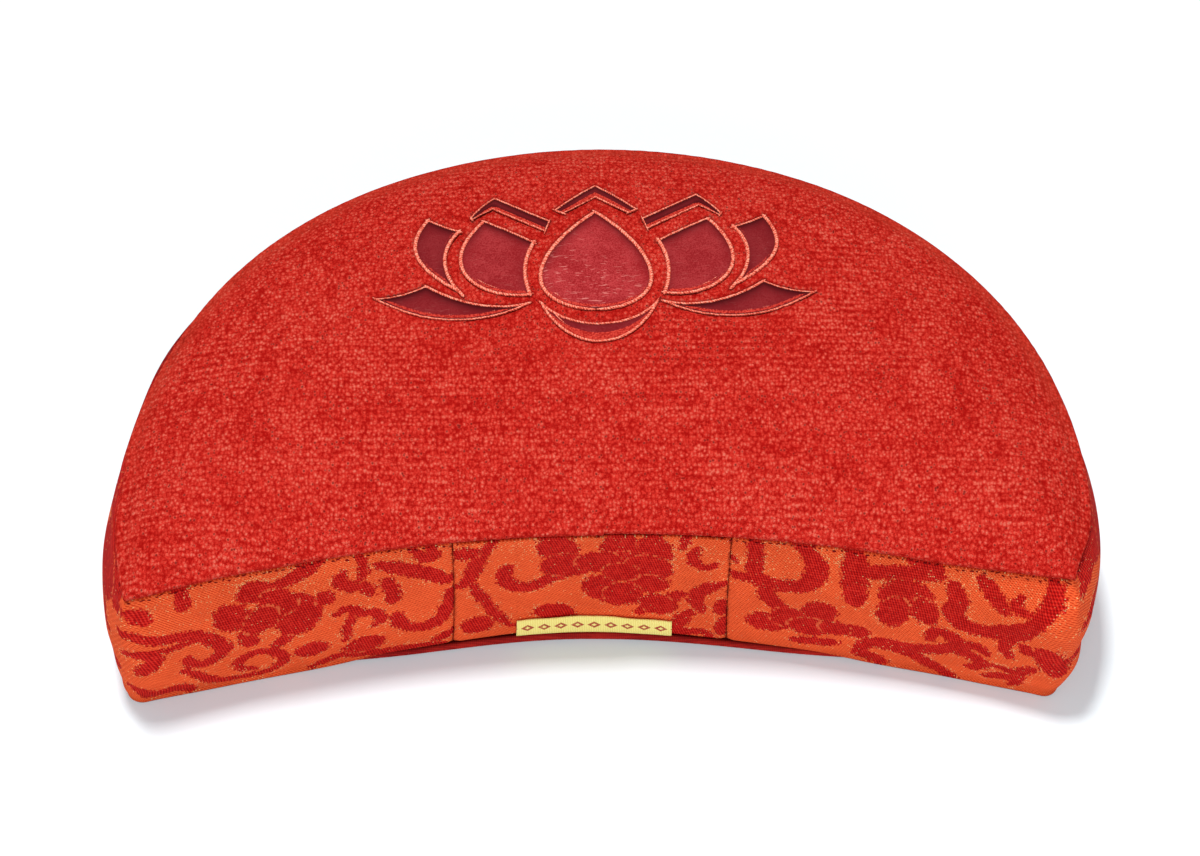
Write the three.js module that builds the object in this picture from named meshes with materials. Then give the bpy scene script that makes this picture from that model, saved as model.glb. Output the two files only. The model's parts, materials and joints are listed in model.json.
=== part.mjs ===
// A crescent meditation cushion: a firm filled seat with a hollow front, a chenille top with a
// lotus in appliqué, a brocade side band and a brocade insert with a woven label.
// Millimetres. +X runs to the right along the front, +Y to the back, +Z up.
import * as THREE from "three";
import { LoftGeometry } from "three/addons/geometries/LoftGeometry.js";

// Plan of the upper seam, measured from the middle of the cushion's widest line.
const HALF_WIDTH = 217;
const BACK_REACH = 202.5;
const SIDE_RADIUS = 199;
const FRONT_MIDDLE = -9.2; // where the hollow front crosses the middle
const FRONT_RADIUS = 660;
const CORNER_RADIUS = 12;
const ARC_STEPS = { front: 24, corner: 4, side: 10, back: 26, frontPart: 9 };

// Heights and the shape of the wall between the two seams.
const BOTTOM_SEAM = 4.2;
const TOP_SEAM = 102.5;
const CROWN = 25; // how far the middle of the top can stand over its seam
const CROWN_REACH = 100; // the crown is level this far in from the seam
const SPINE = { y: 72, spread: 0.5 }; // line that the rings of the top close in on
const WALL_BULGE = 7;
const BOTTOM_INSET = 5.5; // how far the lower seam is drawn in under the upper one
const WALL_ROWS = 8;
const BAND_TOP = 0.988; // share of the wall's height where the band tucks under the top panel
const PANEL_ROLL = 0.8; // the top panel's edge stands over the band by this much

// How the filling has settled. The hollow front is drawn flat, most of all in its middle, where
// its foot is pulled in and up; the foot of the left end spreads and that of the right tucks in.
// The right side swells between its seams, and the left shoulder has sunk in a little.
const HOLLOW = { at: -9, flat: 5, middle: 4, pull: 4, depth: 60, lift: 3.5, rim: 14, reach: 68 };
const FOOT = { left: 6, right: -1, swell: 2, fades: 160 };
const SHOULDER = { sunk: 1.6, at: 75, reach: 42 };

// Cloth.
const GAP = 0.3; // between pieces that touch
const CLOTH = 1.6;
const INSERT = { left: -67.5, right: 56.5, hem: 0.02, proud: 0.6, flare: 1.2, flareShare: 0.06 };
const SEAM_SLIT = 0.2; // half of the slit between the insert and the band
const LABEL = { left: -39, right: 31.8, low: 0.045, high: 0.17, thickness: 0.6 };

// Rows of the cushion's rounded foot, from the middle outwards: inset from the lower seam, height
// over the bottom panel, and how far the row is shrunk towards the spine.
const FOOT_ROWS = [
  { inset: 4, height: 0, shrink: 0.2 },
  { inset: 3.4, height: 0.1, shrink: 0 },
  { inset: 1.2, height: 0.9, shrink: 0 },
];
// Rows of the top panel: its rolled edge over the seam, then insets, then shrinks of the last one.
const ROLL_ROWS = [
  { share: 1, height: 2.5 },
  { share: 0.6, height: 5.5 },
];
const CROWN_ROWS = { insets: [2.5, 6, 10.5], shrinks: [0.12, 0.26, 0.42, 0.6, 0.8, 0.94] };
// Rows of the bottom panel, down its outside and back along its inside: offset from the lower seam.
const BOTTOM_ROWS = [
  { offset: -6, z: 0, shrink: 0 },
  { offset: -1.6, z: 0.4, shrink: 0 },
  { offset: 0.6, z: 1.9, shrink: 0 },
  { offset: 0, z: BOTTOM_SEAM - GAP, shrink: 0 },
  { offset: GAP - CLOTH, z: BOTTOM_SEAM - GAP, shrink: 0 },
  { offset: -CLOTH - 0.6, z: 2.2, shrink: 0 },
  { offset: -CLOTH - 4, z: CLOTH + 0.1, shrink: 0 },
  { offset: -6, z: CLOTH + 0.2, shrink: 0.3 },
];

// The lotus lies on the crown: its lowest petal tip, its slight turn, and its cloth.
const LOTUS = { x: -1.3, y: 97.4, turn: THREE.MathUtils.degToRad(1), thickness: 0.9, puff: 0.5 };
const PATCH_STEPS = { along: 5, across: 3, blunt: 0.02 };
// The patches were cut and laid by hand, so each lies a little off the drawing: moved, turned by
// degrees and stretched round its middle.
const LAID = {
  lotus_centre: { x: -0.4, y: -0.5, turn: -1.2, wide: 0.985, tall: 1.02 },
  lotus_base: { x: 0.2, turn: -0.8 },
  lotus_back: { x: 0.6, y: 0.2, turn: -0.6 },
  lotus_inner_left: { x: -0.7, y: -0.3, tall: 1.02 },
  lotus_inner_right: { x: 0.9, y: -1, turn: -1.5, wide: 1.01, tall: 1.03 },
  lotus_outer_left: { x: -0.2, y: -0.5, tall: 1.03 },
  lotus_outer_right: { x: 0.4, y: -0.6, turn: -3, wide: 0.98 },
  lotus_leaf_left: { x: -1.6 },
  lotus_leaf_right: { x: -0.7, y: -0.6, turn: -0.5, wide: 0.985 },
  lotus_back_tip_left: { x: 0.3, y: -0.2, wide: 0.99 },
  lotus_back_tip_right: { x: 0.8, y: 0.2, turn: -1 },
};

const COLOURS = { chenille: "#ce3229", brocade: "#d84a2c", velvet: "#9a2f33", label: "#f3e17a" };

// Each patch lies between two edges that run from its start to its end, left and right of that
// way. An edge is a chain of cubic curves: a point, then two handles and a point for each curve.
const PATCHES = [
  {
    name: "lotus_centre",
    left: [[0, -0.5], [-13, -0.5], [-25.5, 6], [-25.5, 17.5], [-25.5, 31], [-12, 46], [0, 56]],
    right: [[0, -0.5], [13, -0.5], [25.5, 6], [25.5, 17.5], [25.5, 31], [12, 46], [0, 56]],
  },
  {
    name: "lotus_base",
    left: [[-26, 2], [-14, -13.5], [14, -13.5], [26, 2]],
    right: [[-26, 2], [-14, -26], [14, -26], [26, 2]],
  },
  {
    name: "lotus_back",
    left: [[-18.5, 57.5], [-12, 64], [-6, 69], [0, 73.5], [6, 69], [12, 64], [18.5, 57.5]],
    right: [[-15, 55.5], [-9, 59.5], [-4, 63], [0, 66], [4, 63], [9, 59.5], [15, 55.5]],
  },
  {
    name: "lotus_inner",
    pair: true,
    left: [[30, 8.5], [32.5, 16], [33.5, 27], [27.5, 38], [35, 43], [42, 47.5], [50, 52]],
    right: [[30, 8.5], [42, 6], [61, 13], [61, 29], [61, 37], [56, 45], [50, 52]],
  },
  {
    name: "lotus_outer",
    pair: true,
    left: [[63, 12], [69, 20], [72.5, 34], [62, 46.5], [67, 48.5], [71, 51], [76, 54.5]],
    right: [[63, 12], [75, 20], [82, 29], [82, 38], [82, 44], [79.5, 49], [76, 54.5]],
  },
  {
    name: "lotus_leaf",
    pair: true,
    left: [[30.5, 2.5], [45, -1.5], [62, 3], [76, 14], [82, 10.5], [91, 7.5], [99, 8]],
    right: [[30.5, 2.5], [43, -5], [60, -8], [77, -3.5], [85, -1], [92, 3], [99, 8]],
  },
  {
    name: "lotus_back_tip",
    pair: true,
    left: [[21, 51], [29, 56], [38, 62], [46, 67.5], [50, 64], [54, 60], [57, 55]],
    right: [[23, 45], [31, 50], [39, 55], [47, 60.5], [51, 58], [54, 56], [56.5, 54]],
  },
];

// The plan is six arcs that meet smoothly: the hollow front, two corners, two sides, the back.
const frontCentre = new THREE.Vector2(0, FRONT_MIDDLE - FRONT_RADIUS);
const sideCentre = new THREE.Vector2(HALF_WIDTH - SIDE_RADIUS, 0);
const backRadius =
  (sideCentre.x ** 2 + BACK_REACH ** 2 - SIDE_RADIUS ** 2) / (2 * (BACK_REACH - SIDE_RADIUS));
const backCentre = new THREE.Vector2(0, BACK_REACH - backRadius);
const cornerCentre = circlesMeet(
  frontCentre, FRONT_RADIUS + CORNER_RADIUS, sideCentre, SIDE_RADIUS - CORNER_RADIUS,
);
const frontTurn = angleFrom(frontCentre, cornerCentre);
const cornerTurn = angleFrom(sideCentre, cornerCentre);
const sideTurn = angleFrom(backCentre, sideCentre);

/** Where two circles cross, on the right of the line from the first centre to the second. */
function circlesMeet(a, radiusA, b, radiusB) {
  const line = b.clone().sub(a);
  const apart = line.length();
  const along = (apart ** 2 + radiusA ** 2 - radiusB ** 2) / (2 * apart);
  const aside = Math.sqrt(radiusA ** 2 - along ** 2);
  const right = new THREE.Vector2(line.y, -line.x).setLength(aside);
  return a.clone().add(line.setLength(along)).add(right);
}

function angleFrom(from, to) {
  return Math.atan2(to.y - from.y, to.x - from.x);
}

/** Points of an arc, without its last one. The radius includes the offset. */
function arcPoints(centre, radius, from, to, steps) {
  const curve = new THREE.EllipseCurve(centre.x, centre.y, radius, radius, from, to, from > to);
  return curve.getPoints(steps).slice(0, -1);
}

/** The hollow front from one angle to another, moved outwards by an offset. */
function frontPoints(offset, from, to, steps) {
  return arcPoints(frontCentre, FRONT_RADIUS - offset, from, to, steps);
}

/** The outline from the right front corner, round the back, to the left front corner. */
function outerPoints(offset) {
  const { corner, side, back } = ARC_STEPS;
  const mirrored = (centre) => new THREE.Vector2(-centre.x, centre.y);
  const cornerRadius = CORNER_RADIUS + offset;
  const sideRadius = SIDE_RADIUS + offset;
  const leftCorner = Math.PI - cornerTurn;
  return [
    ...arcPoints(cornerCentre, cornerRadius, frontTurn - Math.PI, cornerTurn, corner),
    ...arcPoints(sideCentre, sideRadius, cornerTurn, sideTurn, side),
    ...arcPoints(backCentre, backRadius + offset, sideTurn, Math.PI - sideTurn, back),
    ...arcPoints(mirrored(sideCentre), sideRadius, Math.PI - sideTurn, leftCorner, side),
    ...arcPoints(mirrored(cornerCentre), cornerRadius, leftCorner, 2 * Math.PI - frontTurn, corner),
  ];
}

/** The whole outline, anticlockwise from the left end of the hollow front. */
function ring(offset) {
  const front = frontPoints(offset, Math.PI - frontTurn, frontTurn, ARC_STEPS.front);
  return [...front, ...outerPoints(offset)];
}

/** The outline without the insert: from the insert's right seam round to its left seam. */
function bandLine(offset) {
  const right = frontAngle(INSERT.right + SEAM_SLIT);
  const left = frontAngle(INSERT.left - SEAM_SLIT);
  const steps = ARC_STEPS.frontPart;
  return [
    ...frontPoints(offset, right, frontTurn, steps),
    ...outerPoints(offset),
    ...frontPoints(offset, Math.PI - frontTurn, left, steps),
    frontPoint(offset, left),
  ];
}

/** A stretch of the hollow front, from one place along X to another. */
function frontLine(fromX, toX, steps) {
  const from = frontAngle(fromX);
  const to = frontAngle(toX);
  return (offset) => [...frontPoints(offset, from, to, steps), frontPoint(offset, to)];
}

function frontAngle(x) {
  return Math.acos(x / FRONT_RADIUS);
}

function frontPoint(offset, angle) {
  const radius = FRONT_RADIUS - offset;
  return new THREE.Vector2(
    frontCentre.x + radius * Math.cos(angle),
    frontCentre.y + radius * Math.sin(angle),
  );
}

/** How far the band's outside stands out from the upper seam; 0 at the lower seam, 1 at the upper. */
function wallOffset(share) {
  const drawnIn = BOTTOM_INSET * (1 - share) ** 1.5;
  return WALL_BULGE * Math.sin(Math.PI * share) ** 0.75 - drawnIn;
}

function wallHeight(share) {
  return THREE.MathUtils.lerp(BOTTOM_SEAM, TOP_SEAM, share);
}

/** Shares of the wall's height from one to another, closer together towards its seams. */
function wallShares(low, high, rows) {
  return Array.from({ length: rows + 1 }, (_, i) => {
    const share = (1 - Math.cos((Math.PI * i) / rows)) / 2;
    return THREE.MathUtils.clamp(share, low, high);
  });
}

/** Rows of the wall at some shares of its height, moved outwards by a length or a function. */
function wallRows(shares, outwards) {
  return shares.map((share) => {
    const extra = typeof outwards === "function" ? outwards(share) : outwards;
    return { z: wallHeight(share), offset: wallOffset(share) + extra };
  });
}

/** Height of the cushion's top over a place in plan, by its distance to the upper seam. */
function topHeight(x, y) {
  const place = new THREE.Vector2(Math.abs(x), y);
  const toFront = place.distanceTo(frontCentre) - FRONT_RADIUS;
  const behind = angleFrom(backCentre, place) > sideTurn;
  const toRim = behind
    ? backRadius - place.distanceTo(backCentre)
    : SIDE_RADIUS - place.distanceTo(sideCentre);
  const nearest = softMinimum(toFront, toRim);
  const share = THREE.MathUtils.clamp(nearest / CROWN_REACH, 0, 1);
  return TOP_SEAM + CROWN * Math.sqrt(1 - (1 - share) ** 2);
}

/** The lesser of two lengths, rounded off where they are alike. */
function softMinimum(a, b) {
  const power = 3;
  if (Math.min(a, b) <= 0) return 0;
  return (a ** -power + b ** -power) ** (-1 / power);
}

/** A ring at one height; shrink draws its points towards the spine, 1 onto it. */
function section(offset, height, shrink = 0) {
  return ring(offset).map((point) => {
    const x = THREE.MathUtils.lerp(point.x, point.x * SPINE.spread, shrink);
    const y = THREE.MathUtils.lerp(point.y, SPINE.y, shrink);
    return new THREE.Vector3(x, y, typeof height === "function" ? height(x, y) : height);
  });
}

/** Where a point of the evenly filled shape lies once the filling has settled. */
function settled({ x, y, z }) {
  const share = THREE.MathUtils.clamp(z / TOP_SEAM, 0, 1);
  const low = 1 - share;
  const atFront = Math.exp(-(((y - FRONT_MIDDLE) / HOLLOW.depth) ** 2));
  const atRim = Math.exp(-(((y - FRONT_MIDDLE) / HOLLOW.rim) ** 2));
  const atMiddle = Math.exp(-(((x - HOLLOW.at) / HOLLOW.reach) ** 2));
  const flat = (HOLLOW.flat + HOLLOW.middle * atMiddle) * Math.sin(Math.PI * share) ** 0.75;
  const outwards = x < 0 ? FOOT.left * low : FOOT.right * low + FOOT.swell * Math.sin(Math.PI * share);
  const far = (Math.abs(x) / HALF_WIDTH) ** 3;
  const atEnd = far * THREE.MathUtils.clamp(1 - y / FOOT.fades, 0, 1);
  const atShoulder = x < 0 ? far * Math.exp(-(((y - SHOULDER.at) / SHOULDER.reach) ** 2)) : 0;
  const overFloor = Math.min(z / BOTTOM_SEAM, 1);
  return new THREE.Vector3(
    x + Math.sign(x) * atEnd * outwards + atShoulder * SHOULDER.sunk,
    y + atFront * (HOLLOW.pull * atMiddle * low + flat),
    z + HOLLOW.lift * atRim * atMiddle * low * overFloor,
  );
}

/** A closed solid through rings or sections of points, settled, with both ends capped. */
function lofted(sections) {
  return new LoftGeometry(sections.map((points) => points.map(settled)), {
    capStart: true,
    capEnd: true,
  });
}

/** The filled body: its wall lies one cloth inside the band, and its top is the chenille panel. */
function cushionGeometry() {
  const edge = -BOTTOM_INSET - CLOTH;
  const under = CLOTH + 2 * GAP;
  const wall = wallRows(wallShares(0, 1, WALL_ROWS), -CLOTH - GAP);
  wall.at(-1).z -= 2 * GAP;
  const { insets, shrinks } = CROWN_ROWS;
  return lofted([
    ...FOOT_ROWS.map((row) => section(edge - row.inset, under + row.height, row.shrink)),
    ...wall.map(({ z, offset }) => section(offset, z)),
    section(-GAP, TOP_SEAM),
    ...ROLL_ROWS.map(({ share, height }) => section(PANEL_ROLL * share, TOP_SEAM + height)),
    ...insets.map((inset) => section(-inset, topHeight)),
    ...shrinks.map((shrink) => section(-insets.at(-1), topHeight, shrink)),
  ]);
}

/** The bottom panel: flat where it rests, with its edge turned up to the lower seam. */
function bottomGeometry() {
  return lofted(BOTTOM_ROWS.map(({ offset, z, shrink }) => section(offset - BOTTOM_INSET, z, shrink)));
}

/** A strip of cloth upright along a line in plan, between its inner and its outer rows. */
function stripGeometry(line, inner, outer) {
  const profile = [...inner, ...outer.toReversed()];
  const columns = profile.map(({ z, offset }) => ({ z, points: line(offset) }));
  const places = columns[0].points.map((_, i) =>
    columns.map(({ z, points }) => new THREE.Vector3(points[i].x, points[i].y, z)),
  );
  return lofted(places);
}

function bandGeometry() {
  const shares = wallShares(0, BAND_TOP, WALL_ROWS);
  return stripGeometry(bandLine, wallRows(shares, -CLOTH), wallRows(shares, 0));
}

/** How far the insert stands out from the band; its hem flares off the lower seam. */
function insertStand(share) {
  return INSERT.proud + INSERT.flare * Math.exp(-share / INSERT.flareShare);
}

function insertGeometry() {
  const line = frontLine(INSERT.left + SEAM_SLIT, INSERT.right - SEAM_SLIT, 10);
  const shares = wallShares(INSERT.hem, BAND_TOP, WALL_ROWS);
  return stripGeometry(
    line,
    wallRows(shares, (share) => insertStand(share) - INSERT.proud - CLOTH),
    wallRows(shares, insertStand),
  );
}

function labelGeometry() {
  const { left, right, low, high, thickness } = LABEL;
  const shares = wallShares(0, 1, 2).map((share) => THREE.MathUtils.lerp(low, high, share));
  const back = (share) => insertStand(share) + GAP;
  return stripGeometry(
    frontLine(left, right, 8),
    wallRows(shares, back),
    wallRows(shares, (share) => back(share) + thickness),
  );
}

/** An edge of a patch as points, each of its curves cut into the same number of steps. */
function edgePoints(handles) {
  const { along, blunt } = PATCH_STEPS;
  const curves = [];
  for (let i = 0; i + 3 < handles.length; i += 3) {
    const [a, b, c, d] = handles.slice(i, i + 4).map(([x, y]) => new THREE.Vector2(x, y));
    curves.push(new THREE.CubicBezierCurve(a, b, c, d));
  }
  const steps = curves.length * along;
  return Array.from({ length: steps + 1 }, (_, i) => {
    const place = THREE.MathUtils.clamp(i / steps, blunt, 1 - blunt) * curves.length;
    const curve = Math.min(Math.floor(place), curves.length - 1);
    return curves[curve].getPointAt(place - curve);
  });
}

/** A patch of the lotus draped on the crown, a little puffed up between its stitched edges. */
function patchGeometry(left, right) {
  const { across } = PATCH_STEPS;
  const shares = Array.from({ length: across + 1 }, (_, k) => k / across);
  const lifted = (from, to, share, lift) => {
    const { x, y } = from.clone().lerp(to, share);
    const puff = 4 * LOTUS.puff * share * (1 - share);
    return new THREE.Vector3(x, y, topHeight(x, y) + lift + puff);
  };
  const rows = left.map((from, i) => {
    const over = shares.map((share) => lifted(from, right[i], share, GAP + LOTUS.thickness));
    const under = shares.map((share) => lifted(from, right[i], share, GAP));
    return [...over, ...under.toReversed()];
  });
  return lofted(rows);
}

/** A patch's edges on one side of the flower, as it was laid, in the cushion's frame. */
function laidEdges(name, edges, side) {
  const { x = 0, y = 0, turn = 0, wide = 1, tall = 1 } = LAID[name];
  const drawn = edges.map((points) => points.map((p) => new THREE.Vector2(p.x * side, p.y)));
  const middle = new THREE.Box2().setFromPoints(drawn.flat()).getCenter(new THREE.Vector2());
  return drawn.map((points) =>
    points.map((p) =>
      p.sub(middle).multiply(new THREE.Vector2(wide, tall))
        .rotateAround(new THREE.Vector2(), THREE.MathUtils.degToRad(turn))
        .add(middle).add(new THREE.Vector2(x, y))
        .rotateAround(new THREE.Vector2(), LOTUS.turn)
        .add(new THREE.Vector2(LOTUS.x, LOTUS.y)),
    ),
  );
}

/** The patches of the lotus as pairs of plan edges, paired ones on both sides. */
function lotusPatches() {
  return PATCHES.flatMap(({ name, pair, left, right }) => {
    const edges = [edgePoints(left), edgePoints(right)];
    if (!pair) return [{ name, edges: laidEdges(name, edges, 1) }];
    const [onRight, onLeft] = [`${name}_right`, `${name}_left`];
    // the mirrored patch has its left and right edges changed over
    return [
      { name: onRight, edges: laidEdges(onRight, edges, 1) },
      { name: onLeft, edges: laidEdges(onLeft, edges, -1).toReversed() },
    ];
  });
}

function named(name, geometry, color, roughness = 0.95) {
  const mesh = new THREE.Mesh(geometry, new THREE.MeshStandardMaterial({ color, roughness }));
  mesh.name = name;
  return mesh;
}

const cushion = new THREE.Group();
cushion.add(
  named("cushion", cushionGeometry(), COLOURS.chenille),
  named("bottom_panel", bottomGeometry(), COLOURS.chenille),
  named("side_band", bandGeometry(), COLOURS.brocade, 0.7),
  named("front_insert", insertGeometry(), COLOURS.brocade, 0.7),
  named("label", labelGeometry(), COLOURS.label, 0.6),
);
for (const { name, edges } of lotusPatches()) {
  cushion.add(named(name, patchGeometry(...edges), COLOURS.velvet, 0.8));
}

// The origin is the middle of the underside of the cushion's box.
const box = new THREE.Box3().setFromObject(cushion, true);
const middle = box.getCenter(new THREE.Vector3());
cushion.children.forEach((mesh) => mesh.position.set(-middle.x, -middle.y, -box.min.z));

export default cushion;
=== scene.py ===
"""A crescent meditation cushion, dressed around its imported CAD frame.

The cushion is a firm filled seat with a hollow front. Its top is red chenille with a lotus in
burgundy velvet appliqué, edged with coral satin stitch. The side band and the insert in the
hollow front are orange brocade with dark red scrolls and gold threads.

Shapes are worked out in millimetres in the plan frame, whose origin is the middle of the
cushion's widest line, and are moved to the frame of the part, in metres, when a mesh is made.
"""

from __future__ import annotations

import json
import logging
import math
from collections.abc import Callable
from dataclasses import dataclass, field
from enum import Enum

import bpy
import numpy as np
from mathutils import Matrix, Vector

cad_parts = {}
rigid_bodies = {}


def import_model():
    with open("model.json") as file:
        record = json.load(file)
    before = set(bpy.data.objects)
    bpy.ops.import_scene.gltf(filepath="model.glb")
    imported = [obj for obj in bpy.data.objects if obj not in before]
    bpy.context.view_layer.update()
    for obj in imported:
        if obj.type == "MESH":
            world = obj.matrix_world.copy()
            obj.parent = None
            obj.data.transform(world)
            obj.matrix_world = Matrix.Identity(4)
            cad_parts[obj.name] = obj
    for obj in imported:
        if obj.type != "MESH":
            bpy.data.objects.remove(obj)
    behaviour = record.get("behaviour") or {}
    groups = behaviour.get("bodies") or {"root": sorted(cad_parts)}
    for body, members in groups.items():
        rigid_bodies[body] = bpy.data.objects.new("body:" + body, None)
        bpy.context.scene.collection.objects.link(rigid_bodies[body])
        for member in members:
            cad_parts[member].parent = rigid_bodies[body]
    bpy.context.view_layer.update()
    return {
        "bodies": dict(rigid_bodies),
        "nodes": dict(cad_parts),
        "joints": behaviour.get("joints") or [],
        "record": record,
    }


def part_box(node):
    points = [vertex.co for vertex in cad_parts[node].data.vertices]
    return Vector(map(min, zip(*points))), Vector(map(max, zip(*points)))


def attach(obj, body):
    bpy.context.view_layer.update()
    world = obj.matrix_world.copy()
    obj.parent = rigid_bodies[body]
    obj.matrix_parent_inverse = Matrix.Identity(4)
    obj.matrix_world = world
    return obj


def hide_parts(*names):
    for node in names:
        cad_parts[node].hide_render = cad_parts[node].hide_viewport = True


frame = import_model()

LOG = logging.getLogger("cushion")
MM = 0.001
TAU = 2 * math.pi
Array = np.ndarray


# ---------------------------------------------------------------- curves and fields


def bell(gap: Array, wide: float) -> Array:
    """A bell curve: e to the minus square of the gap over the width, 1 where the gap is 0."""
    return np.exp(-((gap / wide) ** 2))


def unit(value: Array) -> Array:
    """The value, kept from 0 to 1."""
    return np.clip(value, 0, 1)


def spots(x: Array, y: Array, z: Array | float) -> Array:
    """Points whose last axis is X, Y, Z."""
    return np.stack(np.broadcast_arrays(x, y, z), -1)


def lengths(line: Array) -> Array:
    """Way along a line at each of its points: the running sum of its steps."""
    return np.concatenate([[0], np.cumsum(np.linalg.norm(np.diff(line, axis=0), axis=1))])


def evenly(points: Array, count: int) -> Array:
    """A number of points at even lengths along a line of n x dimensions."""
    length = lengths(points)
    ways = np.linspace(0, length[-1], count)
    return np.stack([np.interp(ways, length, column) for column in points.T], -1)


def rotated(points: Array, angle: float) -> Array:
    """Points of a plan, turned counter-clockwise by an angle in radians."""
    c, s = math.cos(angle), math.sin(angle)
    x, y = points[..., 0], points[..., 1]
    return np.stack([x * c - y * s, x * s + y * c], -1)


def enclosed(x: Array, y: Array) -> float:
    """Area inside an outline, by the shoelace formula."""
    return abs(float((x * np.roll(y, -1) - y * np.roll(x, -1)).sum())) / 2


def sampled(grid: Array, row: Array, column: Array) -> Array:
    """Values between the points of a grid: the four around a place, weighted by nearness.

    Args:
        grid: rows x columns of values.
        row: place along the rows, counted in points.
        column: place along the columns.

    Returns:
        The values.
    """
    row = np.clip(row, 0, grid.shape[0] - 1.001)
    column = np.clip(column, 0, grid.shape[1] - 1.001)
    i, j = row.astype(int), column.astype(int)
    a, b = row - i, column - j
    near = grid[i, j] * (1 - b) + grid[i, j + 1] * b
    return near * (1 - a) + (grid[i + 1, j] * (1 - b) + grid[i + 1, j + 1] * b) * a


def ripple(x: Array, y: Array, size: float, seed: int) -> Array:
    """A smooth uneven field from -1 to 1: the mean of plane waves in seeded directions.

    Args:
        x: first coordinate.
        y: second coordinate.
        size: mean wavelength, in the same unit.
        seed: seed of the directions and phases.

    Returns:
        The field's values.
    """
    waves, evened = 9, 1.6
    rng = np.random.default_rng(seed)
    turn = rng.uniform(0, TAU, waves)
    length = size * rng.uniform(0.7, 1.5, waves)
    phase = rng.uniform(0, TAU, waves)
    total = np.zeros(np.broadcast(x, y).shape)
    for a, b, c in zip(turn, length, phase):
        total = total + np.sin((x * math.cos(a) + y * math.sin(a)) * TAU / b + c)
    return total / math.sqrt(waves) / evened


# ---------------------------------------------------------------- shape of the cushion


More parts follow.
